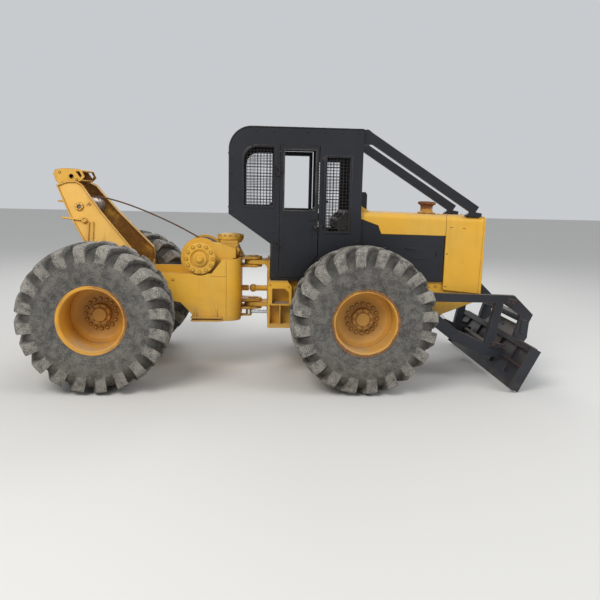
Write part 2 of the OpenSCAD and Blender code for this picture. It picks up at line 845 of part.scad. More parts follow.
module guard_meshes() {
    y = cab_y - cab_t / 2;
    color([0.08, 0.08, 0.10]) on_front() {
        mirrored() for (w = [rear_window, front_window])
            slab(y - 4, y + 4) intersection() {
                translate([w[0], w[2]]) guard(w[1] - w[0], w[3] - w[2]);
                window_outline(w, -seat);
            }
        for (g = [[rear_glass, -cab_rear + cab_t / 2], [front_glass, cab_front - 20]])
            translate([g[1] - 4, g[0][0] + seat, g[0][2] + seat]) rotate([90, 0, 90]) linear_extrude(8)
                guard(g[0][1] - g[0][0] - 2 * seat, g[0][3] - g[0][2] - 2 * seat);
    }
}

// Inside the cab

module seat() {
    color([0.10, 0.10, 0.11]) on_front() {
        block([-880, -150, cab_floor_z + seat], [-580, 150, 1480]);
        block([-910, -235, 1480 + seat], [-480, 235, 1590]);
        translate([-860, 0, 1589]) rotate([0, -16, 0]) translate([-45, -225, seat + 14]) cube([90, 450,
            420]);
    }
}

wheel_at = [-470, 0, 1905];
wheel_tilt = -32;
wheel_hub_h = 34;
// Length of the column, which ends inside the dash
column_l = 620;

module dash() {
    color([0.14, 0.14, 0.15]) on_front() {
        slab(-400, 400) polygon([
            [cab_front - 40 - seat, cab_floor_z + seat], [cab_front - 40 - seat, 1900], [-120, 1900],
                [-235, 1790],
            [-235, 1700], [-160, 1600], [-160, cab_floor_z + seat]
        ]);
        translate(wheel_at) rotate([0, wheel_tilt, 0]) translate([0, 0, -column_l])
            cylinder(r = 24, h = column_l - wheel_hub_h / 2 - seat);
    }
}

module steering_wheel() {
    color([0.07, 0.07, 0.08]) on_front() translate(wheel_at) rotate([0, wheel_tilt, 0]) {
        rotate_extrude() translate([185, 0]) circle(r = 13, $fn = 24);
        cylinder(r = 38, h = wheel_hub_h, center = true);
        for (a = [30, 150, 270]) rotate([0, 0, a]) translate([30, -13, -5]) cube([150, 26, 10]);
    }
}

// Sweeps: bars from the cab's roof to the front of the hood

sweep_top = [cab_front + 40, 2742];
sweep_foot = [1352, 1936];

module sweeps() {
    run_x = sweep_foot[0] - sweep_top[0];
    drop = sweep_top[1] - sweep_foot[1];
    length = sqrt(run_x * run_x + drop * drop);
    y0 = cab_y - cab_t - 52;
    y1 = y0 + 50;
    foot = hood_top_at(sweep_foot[0]);
    color([0.11, 0.12, 0.16]) on_front() mirrored() {
        slab(y0, y1) intersection() {
            union() {
                translate(sweep_top) rotate(-atan(drop / run_x)) translate([-30,
                    -52]) square([length + 30, 104]);
                // Bracket on the roof's front edge
                polygon([
                    [cab_front, cab_top - 4], [cab_front + 60, cab_top - 4], [cab_front + 150,
                        cab_top - 70],
                    [cab_front + 130, cab_top - 160], [cab_front, cab_top - 170]
                ]);
            }
            translate([cab_front + seat, 0]) square([2 * length, 2 * cab_top]);
        }
        // Foot on the hood
        slab(y0 - 8, y1 + 8) polygon([
            [sweep_foot[0] - 120, hood_top_at(sweep_foot[0] - 120) + seat],
            [sweep_foot[0] + 60, hood_top_at(sweep_foot[0] + 60) + seat],
            [sweep_foot[0] + 60, foot + 40], [sweep_foot[0] - 60, foot + 60], [sweep_foot[0] - 120,
                foot + 20]
        ]);
    }
}

// Blade and its frame

lift_base = [245, 700];
lift_eye = [1000, 705];
blade_bottom = [blade_reach - 372, 24];
// Cross tubes of the blade's frame, their places and radii
upper_tube = [blade_reach - 110, 720, 48];
lower_tube = [blade_reach - 380, 330, 40];

module arm_outline() {
    tip = blade_reach;
    difference() {
        union() {
            translate([arm_pivot_x, arm_pivot_z]) circle(r = 84);
            // Upper chord, bent down at its nose
            polygon([
                [arm_pivot_x, arm_pivot_z - 40], [tip - 366, 905], [tip - 150, 768], [tip - 150, 690],
                [tip - 190, 560], [tip - 200, 470], [tip - 90, 440], [tip - 50, 500], [tip - 40, 680],
                [tip, 770], [tip - 230, 990], [arm_pivot_x, arm_pivot_z + 60]
            ]);
            // Push arm
            polygon([
                [arm_pivot_x - 60, arm_pivot_z - 58], [arm_pivot_x + 60, arm_pivot_z - 58],
                [arm_pivot_x + 158, arm_pivot_z - 157], [1180, 574], [tip - 550, 430], [tip - 300, 370],
                [tip - 340, 250], [tip - 600, 310], [1110, 460], [arm_pivot_x + 70, arm_pivot_z - 260]
            ]);
            // Strut between the two
            polygon([[tip - 540, 420], [tip - 440, 400], [tip - 350, 920], [tip - 440, 930]]);
        }
        translate([arm_pivot_x, arm_pivot_z]) circle(r = arm_pin_r + fit);
    }
}

module blade_frame() {
    color([0.13, 0.14, 0.17]) on_front() {
        mirrored() slab(arm_in, arm_in + arm_t) arm_outline();
        // Cross tubes
        for (t = [upper_tube, lower_tube]) bar_y(t[0], t[1], t[2], -arm_in - 1, arm_in + 1);
    }
}

// Front face of the blade in its own frame: an arc of blade_curve through its lower and upper edge
module blade_plate(r0, r1, y0, y1, trim) {
    c = sqrt(blade_curve * blade_curve - blade_h * blade_h / 4);
    a = asin(blade_h / 2 / blade_curve) - trim;
    translate([c, y1, blade_h / 2]) rotate([90, 0, 0]) linear_extrude(y1 - y0) intersection() {
        difference() {
            circle(r = r1, $fn = 240);
            circle(r = r0, $fn = 240);
        }
        polygon([[0, 0], [-2 * r1, -2 * r1 * tan(a)], [-2 * r1, 2 * r1 * tan(a)]]);
    }
}

module blade() {
    color([0.14, 0.15, 0.19]) on_front() difference() {
        translate([blade_bottom[0], 0, blade_bottom[1]]) rotate([0, blade_lean, 0]) {
            blade_plate(blade_curve, blade_curve + blade_t, -blade_y, blade_y, 0);
            // Rails along the top and the middle of the back, and the cutting edge
            block([-72, -blade_y, blade_h - 66], [-6, blade_y, blade_h - 4]);
            block([-84, -blade_y + 20, 250], [-24, blade_y - 20, 272]);
            block([-40, -blade_y, 0], [-10, blade_y, 130]);
            // End plates and back ribs
            mirrored() {
                block([-74, blade_y - 16, 4], [48, blade_y, blade_h - 4]);
                for (y = [360, 800]) block([-72, y, 120], [-24, y + 16, blade_h - 60]);
            }
            // Raised panel in the middle
            difference() {
                slab(-440, 440) polygon([[-30, blade_h - 10], [2, blade_h - 10], [50, blade_h + 140],
                    [24, blade_h + 148]]);
                for (y = [-60, 60]) translate([-50, y, blade_h + 70]) rotate([0, 90, 0]) cylinder(r = 16,
                    h = 150);
            }
        }
        // Room for the arms and the cross tubes
        mirrored() slab(arm_in - seat, arm_in + arm_t + seat) arm_gap();
        bar_y(lower_tube[0], lower_tube[1], lower_tube[2] + seat, -arm_in, arm_in);
    }
}

module arm_gap() {
    tip = blade_reach;
    polygon([
        [tip - 366, 905], [tip - 150, 768], [tip - 151, 690], [tip - 191, 560], [tip - 201, 469],
        [tip - 89, 439], [tip - 49, 500], [tip + 60, 680], [tip + 60, 770], [tip - 230, 990]
    ]);
    polygon([
        [tip - 640, 470], [tip - 550, 431], [tip - 299, 371], [tip - 339, 249], [tip - 600, 309],
        [tip - 740, 300]
    ]);
}

// Cylinders

// A barrel from its eye at the origin along X, with a bore for the rod
module barrel(length, bore_from) {
    difference() {
        union() {
            bar_x(30, length, 0, 0, barrel_r);
            bar_x(length - 50, length - 8, 0, 0, barrel_r + 5);
            children();
        }
        bar_x(bore_from, length + 1, 0, 0, rod_r + fit);
    }
}

// A rod whose eye is at the origin, reaching back along X
module rod(length) {
    bar_x(-length, -20, 0, 0, rod_r);
    children();
}

module eye(upright) {
    rotate([upright ? 0 : 90, 0, 0]) translate([0, 0, -eye_w / 2]) difference() {
        cylinder(r = 36, h = eye_w);
        translate([0, 0, -1]) cylinder(r = cyl_pin_r + fit, h = eye_w + 2);
    }
}

// An eye with its pin, which ends short of the piece that it points at
module pinned_eye(upright, length) {
    rotate([upright ? 0 : 90, 0, 0]) {
        translate([0, 0, -eye_w / 2]) cylinder(r = 36, h = eye_w);
        translate([0, 0, -length / 2]) cylinder(r = cyl_pin_r, h = length);
    }
}

lift_dx = lift_eye[0] - lift_base[0];
lift_dz = lift_eye[1] - lift_base[1];
lift_length = sqrt(lift_dx * lift_dx + lift_dz * lift_dz);
lift_angle = -atan(lift_dz / lift_dx);
lift_barrel_l = lift_length - 190;

module lift_barrel(side) {
    color([0.12, 0.12, 0.14]) on_front() translate([lift_base[0], side * lift_y, lift_base[1]])
        rotate([0, lift_angle, 0]) difference() {
            barrel(lift_barrel_l, 130) rotate([90, 0, 0]) cylinder(r = 36, h = eye_w, center = true);
            rotate([90, 0, 0]) cylinder(r = cyl_pin_r + fit, h = 2 * eye_w, center = true);
        }
}

module lift_rod(side) {
    color([0.75, 0.76, 0.78]) on_front() translate([lift_eye[0], side * lift_y, lift_eye[1]])
        rotate([0, lift_angle, 0]) rod(lift_length - 260) pinned_eye(false, eye_w + 6);
}

steer_eye_x = -pivot_reach - steer_eye_back;
steer_base_x = -330;
steer_dx = steer_base_x - steer_eye_x;
steer_dy = steer_base_y - steer_eye_y;
steer_length = sqrt(steer_dx * steer_dx + steer_dy * steer_dy);
steer_angle = atan(steer_dy / steer_dx);
steer_barrel_l = steer_length - 285;

module steer_barrel(side) {
    color([0.12, 0.12, 0.14]) on_front() on_side(side) translate([steer_base_x, steer_base_y, steer_z])
        rotate([0, 0, 180 + steer_angle]) difference() {
            barrel(steer_barrel_l, 70) cylinder(r = 36, h = eye_w, center = true);
            cylinder(r = cyl_pin_r + fit, h = 2 * eye_w, center = true);
        }
}

module steer_rod(side) {
    color([0.80, 0.81, 0.83]) on_front() on_side(side) translate([steer_eye_x, steer_eye_y, steer_z])
        rotate([0, 0, 180 + steer_angle]) rod(steer_length - 330) pinned_eye(true, eye_w);
}

// Rear frame

// The room inside the rear frame's walls of thickness t, seen from above
module rear_room(t) {
    front = rear_reach - rear_gap;
    translate([-rear_tail - 1, -rear_y + t]) square([front + rear_tail + 1 - rear_round, 2 * (rear_y - t)]);
    translate([front - rear_round - 1, -rear_y + rear_round])
        square([rear_round + 1 - t, 2 * (rear_y - rear_round)]);
    for (s = [-1, 1]) translate([front - rear_round, s * (rear_y - rear_round)]) circle(r = rear_round - t);
}

// The rear frame seen from above: a wall with round front corners
module rear_plan(t) {
    front = rear_reach - rear_gap;
    difference() {
        union() {
            translate([-rear_tail, -rear_y]) square([front + rear_tail - rear_round, 2 * rear_y]);
            translate([front - rear_round - 1, -rear_y + rear_round])
                square([rear_round + 1, 2 * (rear_y - rear_round)]);
            for (s = [-1, 1]) translate([front - rear_round,
                s * (rear_y - rear_round)]) circle(r = rear_round);
        }
        rear_room(t);
    }
}

module rear_side_outline() {
    front = rear_reach - rear_gap;
    difference() {
        polygon([
            [front + 1, frame_low + 15], [910, frame_low + 15], [910, 700], [780, 840], [700, 850],
                [-rear_tail - 1, 850],
            [-rear_tail - 1, 1130], [-rear_tail + 120, rear_waist], [900, rear_waist], [1130, rear_waist],
            [1260, rear_top], [front + 1, rear_top]
        ]);
        translate([drum_x, drum_z]) circle(r = cover_r + 14);
    }
}

module rear_frame() {
    color([0.83, 0.64, 0.26]) on_rear() difference() {
        union() {
            intersection() {
                translate([0, 0, frame_low]) linear_extrude(rear_top - frame_low) rear_plan(frame_t);
                slab(-rear_y - 1, rear_y + 1) rear_side_outline();
            }
            // Lips and gussets along the lower edge
            mirrored() {
                for (z = [frame_low + 15, frame_low + 52])
                    block([900, rear_y - 5, z], [1250, rear_y + 46, z + 16]);
                for (x = [950, 1180])
                    slab_x(x, x + 14) polygon([[rear_y - 1, 670], [rear_y + 40, 670], [rear_y - 1, 790]]);
            }
        }
        bar_y(0, axle_z, axle_r + seat, -rear_y - 10, rear_y + 10);
    }
}

// A plate inside the rear frame's walls, from x0 to x1 and z0 to z1
module room_plate(x0, x1, z0, z1) {
    translate([0, 0, z0]) linear_extrude(z1 - z0) intersection() {
        rear_room(frame_t + seat);
        translate([x0, -rear_y]) square([x1 - x0, 2 * rear_y]);
    }
}

// Floor, deck, winch floor, rear wall and the pads that the axle bolts to
module rear_floor() {
    front = rear_reach - rear_gap;
    inner = rear_y - frame_t - seat;
    color([0.83, 0.64, 0.26]) on_rear() {
        room_plate(905, front - 100, frame_low + 15, frame_low + 35);
        room_plate(1232, front - 90, rear_top - clevis_t, rear_top);
        room_plate(240, 1200, winch_floor - 20, winch_floor);
        room_plate(-rear_tail + frame_t + seat, -240, winch_floor - 20, winch_floor);
        room_plate(-rear_tail, -rear_tail + frame_t, wall_low, 1125);
        mirrored() difference() {
            block([-110, rear_y - 150, axle_z + 40], [110, inner, 862]);
            bar_y(0, axle_z, axle_r + seat, rear_y - 160, rear_y);
        }
    }
}

// Clevises of the steering pivot with their pins, brackets of the steering rods and the end of the shaft
module rear_pivot() {
    front = rear_reach - rear_gap + seat;
    color([0.83, 0.64, 0.26]) on_rear() {
        for (z = [pivot_low_z, pivot_high_z]) translate([rear_reach, 0, 0]) {
            for (s = [-1, 1])
                pivot_lug(seat - rear_gap, z + s * (pivot_lug_t / 2 + run + clevis_t / 2), clevis_t, 0);
            pivot_pin(z);
        }
        mirrored() steer_bracket();
        bar_x(front, rear_reach - 48 - run, 0, shaft_z, 34);
    }
}

module slab_x(x0, x1) {
    translate([x0, 0, 0]) rotate([90, 0, 90]) linear_extrude(x1 - x0) children();
}

// A pin of the steering pivot at height z, with a washer at each end
module pivot_pin(z) {
    reach = pivot_lug_t / 2 + run + clevis_t;
    translate([0, 0, z - reach]) rotate_extrude() polygon([
        [0, -10], [pivot_pin_r + 16, -10], [pivot_pin_r + 16, 1], [pivot_pin_r, 1], [pivot_pin_r,
            2 * reach - 1],
        [pivot_pin_r + 16, 2 * reach - 1], [pivot_pin_r + 16, 2 * reach + 10], [0, 2 * reach + 10]
    ]);
}

// Bracket of a steering cylinder's rod eye: a plate above it and one below, clear of the eye
module steer_bracket() {
    gap = eye_w / 2 + run;
    x0 = rear_reach - rear_gap + seat;
    x1 = rear_reach - steer_eye_back;
    for (s = [-1, 1]) translate([0, 0, steer_z + s * (gap + 7) - 7]) linear_extrude(14)
        polygon([
            [x0, steer_eye_y - 56], [x1, steer_eye_y - 34], [x1 + 30, steer_eye_y - 18],
            [x1 + 30, steer_eye_y + 18], [x1, steer_eye_y + 34], [x0, steer_eye_y + 56]
        ]);
}

// Top of the plate that the winch stands on
winch_floor = 950;
hitch_r = 25;
hitch_x = -rear_tail - 400;
hitch_t = 50;
hitch_z = 700;

// Underside of the rear wall
wall_low = 880;

// Drawbar under the butt plate, with an upright bore
module hitch() {
    top = wall_low - seat;
    color([0.80, 0.60, 0.24]) on_rear() difference() {
        union() {
            translate([0, 0, hitch_z]) linear_extrude(hitch_t) {
                translate([hitch_x, 0]) circle(r = 62);
                polygon([[hitch_x, -62], [-rear_tail + 60, -110], [-rear_tail + 60, 110], [hitch_x, 62]]);
            }
            block([-rear_tail, -110, hitch_z + 1], [-rear_tail + frame_t, 110, top]);
            mirrored() slab(90, 106) polygon([
                [-rear_tail + 5, hitch_z + 20], [-rear_tail - 200, hitch_z + hitch_t - 1],
                    [-rear_tail + 5, top - 5]
            ]);
        }
        translate([hitch_x, 0, hitch_z - 1]) cylinder(r = hitch_r, h = hitch_t + 2);
    }
}

module rear_axle() {
    axle(rear_x, rear_disc);
}

// Winch

case_front = rear_reach - rear_gap - 60;
cheek_in = 262;
cheek_t = 40;
neck_x = 1325;

module winch_case() {
    color([0.83, 0.64, 0.26]) on_rear() difference() {
        union() {
            // Gear case with its domed top cover
            slab(-190, 190) polygon([
                [1240, rear_top + seat], [case_front, rear_top + seat], [case_front + 40, 1420],
                    [case_front + 20, 1470],
                [neck_x + 90, 1530], [neck_x - 110, 1530], [1215, 1470], [1215, 1400]
            ]);
            translate([neck_x, 0, 1500]) rotate_extrude() polygon([
                [0, 0], [130, 0], [155, 40], [155, 78], [128, 84], [118, 98], [60, 108], [0, 110]
            ]);
            mirrored() {
                // Cheeks that carry the drum, and the bolted end covers
                slab(cheek_in, cheek_in + cheek_t) {
                    translate([drum_x, drum_z]) circle(r = 228);
                    polygon([
                        [drum_x, drum_z + 210], [1240, 1500], [1400, 1450], [1400, rear_top + seat],
                            [1224, rear_top + seat],
                        [drum_x + 100, 1180]
                    ]);
                    polygon([
                        [drum_x - 170, winch_floor + seat], [drum_x + 190, winch_floor + seat],
                        [drum_x + 190, 1250], [drum_x - 170, 1250]
                    ]);
                }
                block([1240, 185, 1400], [1400, cheek_in + 1, 1440]);
                translate([drum_x, cheek_in + cheek_t - 1, drum_z]) rotate([-90, 0,
                    0]) rotate_extrude() polygon([
                    [0, 0], [cover_r - 22, 0], [cover_r - 22, 96], [cover_r, 104], [cover_r, 132],
                        [cover_r - 8, 138],
                    [104, 140], [98, 126], [82, 126], [78, 150], [0, 154]
                ]);
                // Gussets beside the neck
                slab(190 - 1, 204) polygon([[neck_x - 60, 1440], [neck_x + 60, 1440], [neck_x + 110,
                    1500], [neck_x - 110, 1500]]);
            }
            // Floor plate of the case
            block([drum_x - 170, -cheek_in - 1, winch_floor + seat], [drum_x + 190, cheek_in + 1,
                winch_floor + 25]);
            // Levers' pillar at the front
            slab(-60, 60) polygon([[case_front - 10, 1400], [case_front + 70, rear_top + 2],
                [case_front + 94, rear_top + 2],
                                   [case_front + 20, 1480]]);
        }
        bar_y(drum_x, drum_z, drum_shaft_r + fit, -cheek_in - 30, cheek_in + 30);
    }
}

// The drum with its cable wound on, as one turned outline with a round ridge for each turn
wrap_count = 20;
module winch_drum() {
    half = 228;
    core = wrap_r - 9;
    pitch = 2 * (half - 24) / wrap_count;
    ridges = [
        for (i = [0:wrap_count - 1]) for (k = [0:3])
            [core + (k == 1 || k == 2 ? 9 : 2), -half + 24 + pitch * (i + [0.1, 0.35, 0.65, 0.9][k])]
    ];
    color([0.36, 0.27, 0.19]) on_rear() translate([drum_x, 0, drum_z]) turned(1) polygon(concat(
        [[0, -cheek_in - 26], [drum_shaft_r, -cheek_in - 26], [drum_shaft_r, -half - 4], [80, -half],
            [drum_flange_r, -half],
         [drum_flange_r, -half + 20], [core, -half + 20]],
        ridges,
        [[core, half - 20], [drum_flange_r, half - 20], [drum_flange_r, half], [80, half], [drum_shaft_r,
            half + 4],
         [drum_shaft_r, cheek_in + 26], [0, cheek_in + 26]]
    ));
}

// Places of the cross roller, the two upright rollers and the plates above and below them
roller_x = -320;
roller_z = 1890;
roller_r = 100;
roller_half = 290;
upright_x = -500;
upright_y = 120;
carrier_z = [1945, 2105];

// Cable route from the drum to the fairlead, as distance ahead of the rear axle and height
ferrule_r = 20;
cable_end_z = carrier_z[0] + 10 + seat + ferrule_r;
cable_route = [
    [1010, 1513], [960, 1541], [860, 1596], [700, 1680], [500, 1772], [300, 1855], [100, 1926], [-80, 1976],
    [-220, 2000], [-320, 2006], [-380, 1996], [-425, 1982], [-460, cable_end_z], [-490, cable_end_z]
];
cable_sides = 8;

function route_point(i) = cable_route[min(max(i, 0), len(cable_route) - 1)];
function route_dir(i) = let (d = route_point(i + 1) - route_point(i - 1)) d / norm(d);

module winch_cable() {
    n = len(cable_route);
    points = [
        for (i = [0:n - 1]) let (p = route_point(i), d = route_dir(i)) for (k = [0:cable_sides - 1])
            let (a = 360 * k / cable_sides, u = cable_r * cos(a))
            [p[0] - d[1] * u, cable_r * sin(a), p[1] + d[0] * u]
    ];
    faces = [
        [for (k = [cable_sides - 1:-1:0]) k],
        [for (k = [0:cable_sides - 1]) (n - 1) * cable_sides + k],
        for (i = [0:n - 2]) for (k = [0:cable_sides - 1]) let (l = (k + 1) % cable_sides)
            each [
                [i * cable_sides + k, i * cable_sides + l, (i + 1) * cable_sides + k],
                [i * cable_sides + l, (i + 1) * cable_sides + l, (i + 1) * cable_sides + k]
            ]
    ];
    tail = route_point(n - 1);
    color([0.45, 0.42, 0.38]) on_rear() {
        polyhedron(points, faces);
        // Ferrule that rests on the arch's lower cross plate, and a ring that lies flat behind it
        bar_x(tail[0] - 70, tail[0] + 25, 0, tail[1], ferrule_r);
        translate([tail[0] - 96, 0, tail[1]]) rotate_extrude() translate([30, 0]) circle(r = 9, $fn = 24);
    }
}

// Arch

// A leg's outline in X and height: first the front edge from the foot up, then the rear edge down
leg_front = [[330, 1385], [-88, 1853], [-262, 2078], [-300, 2130], [-370, 2166], [-470, 2160], [-580,
    2118]];
leg_rear = [[-420, 1790], [-235, 1485], [-200, 1240]];

arch_foot_z = 1150;
// A leg's plate lies flat here and is leaned afterwards: y0 to y1 through its thickness
module lean() {
    translate([0, arch_foot_y, arch_foot_z]) rotate([arch_splay, 0, 0]) translate([0, 0,
        -arch_foot_z]) children();
}

// A point of the outline, in the plane of the leaning plate
function leaned(p) = [p[0], arch_foot_z + (p[1] - arch_foot_z) / cos(arch_splay)];

// Inside of a leg's plate, from the middle, at height z
function leg_in(z) = arch_foot_y - (z - arch_foot_z) * tan(arch_splay) - arch_t / cos(arch_splay);

module leg_outline() {
    polygon([for (p = concat([[340, arch_foot_z], [338, 1300]], leg_front, leg_rear, [[-200,
        arch_foot_z]])) leaned(p)]);
}

module leg() {
    mid = -arch_t / 2;
    lean() {
        slab(-arch_t, 0) leg_outline();
        slab(mid - arch_flange / 2, mid + arch_flange / 2) difference() {
            leg_outline();
            offset(delta = -14) leg_outline();
            translate([-300, arch_foot_z - 1]) square([700, 110]);
        }
        // Boss of the cross roller
        bar_y(roller_x, leaned([roller_x, roller_z])[1], 46, -arch_t - 8, 22);
    }
    // Foot on the side of the rear frame
    block([-200, rear_y + seat, 1000], [338, arch_foot_y - 4, 1024]);
    for (x = [-199, 60, 319]) slab_x(x, x + 18) polygon([
        [rear_y + seat, 950], [rear_y + seat, 1160], [arch_foot_y - 32, 1235], [arch_foot_y - 15, 1160],
            [arch_foot_y - 15, 1000]
    ]);
    block([-198, arch_foot_y - 27, 1001], [336, arch_foot_y - 5, 1170]);
}

module arch() {
    color([0.83, 0.64, 0.26]) on_rear() difference() {
        union() {
            mirrored() leg();
            // Cross plates that carry the upright rollers
            for (z = carrier_z) block([upright_x - 60, -leg_in(z) - 8, z - 10], [upright_x + 60,
                leg_in(z) + 8, z + 10]);
            // Cross tube between the legs
            bar_y(-150, 1560, 44, -leg_in(1560) - 8, leg_in(1560) + 8);
        }
        bar_y(roller_x, roller_z, 25 + fit, -450, 450);
        mirrored() translate([upright_x, upright_y, 1900]) cylinder(r = 18 + fit, h = 230);
    }
}

// Boxed head that stands on the upper cross plate of the arch
module fairlead() {
    foot = carrier_z[1] + 10 + seat;
    low = 2172;
    color([0.80, 0.60, 0.24]) on_rear() {
        mirrored() slab(240, 258) difference() {
            polygon([
                [upright_x - 50, foot], [upright_x + 58, foot], [-405, 2150], [-330, low], [-290, 2215],
                    [-320, 2285],
                [-360, 2302], [-520, 2308], [-610, 2290], [-632, 2240], [-600, 2160]
            ]);
            translate([-434, 2222]) circle(r = 22);
            polygon([[-385, 2275], [-345, 2275], [-322, 2230], [-335, 2205]]);
        }
        slab(-240.5, 240.5) polygon([
            [-600, low], [-632, 2240], [-610, 2290], [-520, 2308], [-360, 2302], [-320, 2285], [-330,
                2273], [-362, 2288],
            [-520, 2293], [-600, 2277], [-616, 2240], [-586, low]
        ]);
        block([-600, -240.5, low], [-330, 240.5, low + 14]);
    }
}

module roller_cross() {
    shaft = leg_in(roller_z) + arch_t - 2;
    color([0.42, 0.36, 0.30]) on_rear() translate([roller_x, 0, roller_z]) turned(1) polygon([
        [0, -shaft], [25, -shaft], [25, -roller_half], [roller_r + 18, -roller_half], [roller_r + 10,
            40 - roller_half],
        [roller_r, -60], [roller_r, 60], [roller_r + 10, roller_half - 40], [roller_r + 18, roller_half],
        [25, roller_half], [25, shaft], [0, shaft]
    ]);
}

module roller_upright(side) {
    low = carrier_z[0] + 10 + run;
    high = carrier_z[1] - 10 - run;
    color([0.42, 0.36, 0.30]) on_rear() translate([upright_x, side * upright_y,
        0]) rotate_extrude() polygon([
        [0, low - 24], [18, low - 24], [18, low], [52, low], [46, (low + high) / 2], [52, high], [18, high],
        [18, high + 24], [0, high + 24]
    ]);
}

module butt_plate() {
    r = tail_reach - butt_x;
    color([0.72, 0.52, 0.20]) on_rear() {
        slab(-butt_y, butt_y) {
            translate([-butt_x, butt_z]) quarter_ring(r, 22, 42);
            translate([-tail_reach, butt_z - 10]) square([22, 10]);
        }
        // Ribs between the frame's rear wall and the inside of the plate
        mirrored() {
            slab(250, 268) intersection() {
                translate([-butt_x, butt_z]) circle(r = r - 12, $fn = 180);
                translate([-tail_reach, 880]) square([tail_reach - rear_tail - seat, 520]);
            }
            block([-rear_tail - 22, 200, 881], [-rear_tail - seat, 340, 1118]);
        }
    }
}

butt_x = 220;
butt_z = 800;

front_frame();
front_wall();
front_floor();
frame_pins();
tow_lug();
front_axle();
engine_block();
step_blocks();
hood();
nose();
grille();
side_panels();
hood_box();
exhaust();
cab_floor();
cab_side(1);  // cab_side_left
cab_side(-1);  // cab_side_right
cab_roof();
cab_rear();
cab_front();
guard_meshes();
door(1);  // door_left
door(-1);  // door_right
seat();
dash();
steering_wheel();
sweeps();
blade_frame();
blade();
lift_barrel(1);  // lift_barrel_left
lift_barrel(-1);  // lift_barrel_right
lift_rod(1);  // lift_rod_left
lift_rod(-1);  // lift_rod_right
steer_barrel(1);  // steer_barrel_left
steer_barrel(-1);  // steer_barrel_right
steer_rod(1);  // steer_rod_left
steer_rod(-1);  // steer_rod_right
rear_frame();
rear_floor();
rear_pivot();
hitch();
rear_axle();
winch_case();
winch_drum();
winch_cable();
arch();
fairlead();
roller_cross();
roller_upright(1);  // roller_left
roller_upright(-1);  // roller_right
butt_plate();
tyre(front_x, 1);  // tyre_front_left
tyre(front_x, -1);  // tyre_front_right
tyre(rear_x, 1);  // tyre_rear_left
tyre(rear_x, -1);  // tyre_rear_right
rim(front_x, 1, front_disc);  // rim_front_left
rim(front_x, -1, front_disc);  // rim_front_right
rim(rear_x, 1, rear_disc);  // rim_rear_left
rim(rear_x, -1, rear_disc);  // rim_rear_right
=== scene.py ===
import json
import math

import bpy
import numpy as np
from mathutils import Matrix, Vector


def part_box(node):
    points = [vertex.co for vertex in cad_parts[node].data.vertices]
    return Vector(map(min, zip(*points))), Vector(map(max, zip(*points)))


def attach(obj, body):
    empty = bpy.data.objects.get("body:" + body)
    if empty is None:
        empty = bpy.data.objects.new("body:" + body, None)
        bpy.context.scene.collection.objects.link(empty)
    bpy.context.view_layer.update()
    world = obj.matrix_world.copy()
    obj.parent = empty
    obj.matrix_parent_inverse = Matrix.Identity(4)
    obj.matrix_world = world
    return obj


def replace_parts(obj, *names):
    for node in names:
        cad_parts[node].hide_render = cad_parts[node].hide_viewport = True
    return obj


# Cable skidder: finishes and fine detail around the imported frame. Metres, X forward, Y left, Z up.
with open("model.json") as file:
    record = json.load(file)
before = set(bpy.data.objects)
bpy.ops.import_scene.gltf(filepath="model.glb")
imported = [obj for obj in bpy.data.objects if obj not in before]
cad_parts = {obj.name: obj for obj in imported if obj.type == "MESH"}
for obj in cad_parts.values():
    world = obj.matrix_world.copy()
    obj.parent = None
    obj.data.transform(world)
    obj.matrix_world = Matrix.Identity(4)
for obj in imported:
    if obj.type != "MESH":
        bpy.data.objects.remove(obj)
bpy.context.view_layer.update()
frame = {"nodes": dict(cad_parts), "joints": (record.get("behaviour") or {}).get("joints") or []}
nodes = frame["nodes"]
jointAt = {j["name"]: Vector(j["pos_m"]) for j in frame["joints"] if "pos_m" in j}
sides = {"left": 1, "right": -1}
wheels = [f"{end}_{sideName}" for end in ("front", "rear") for sideName in sides]
rams = [f"{kind}_{{}}_{sideName}" for kind in ("lift", "steer") for sideName in sides]
frontX, rearX = jointAt["wheel_front_left_turn"].x, jointAt["wheel_rear_left_turn"].x
axleZ = jointAt["wheel_front_left_turn"].z
print("frame loaded,", len(nodes), "nodes")


# Shader sums
class Wire:
    # A socket that sums can be written with: each operator adds one Math node
    def __init__(self, paint, socket):
        self.paint = paint
        self.socket = socket

    def math(self, operation, *others):
        return self.paint.add("Math", {"operation": operation}, dict(enumerate((self,) + others)))

    def __add__(self, other):
        return self.math("ADD", other)

    def __sub__(self, other):
        return self.math("SUBTRACT", other)

    def __rsub__(self, other):
        return self.paint.add("Math", {"operation": "SUBTRACT"}, {0: other, 1: self})

    def __mul__(self, other):
        return self.math("MULTIPLY", other)

    __radd__, __rmul__ = __add__, __mul__

    # 0 below low, 1 above high, and a smooth rise between
    def rise(self, low, high):
        return self.paint.add("MapRange", {"interpolation_type": "SMOOTHSTEP"},
                              {"Value": self, "From Min": low, "From Max": high})


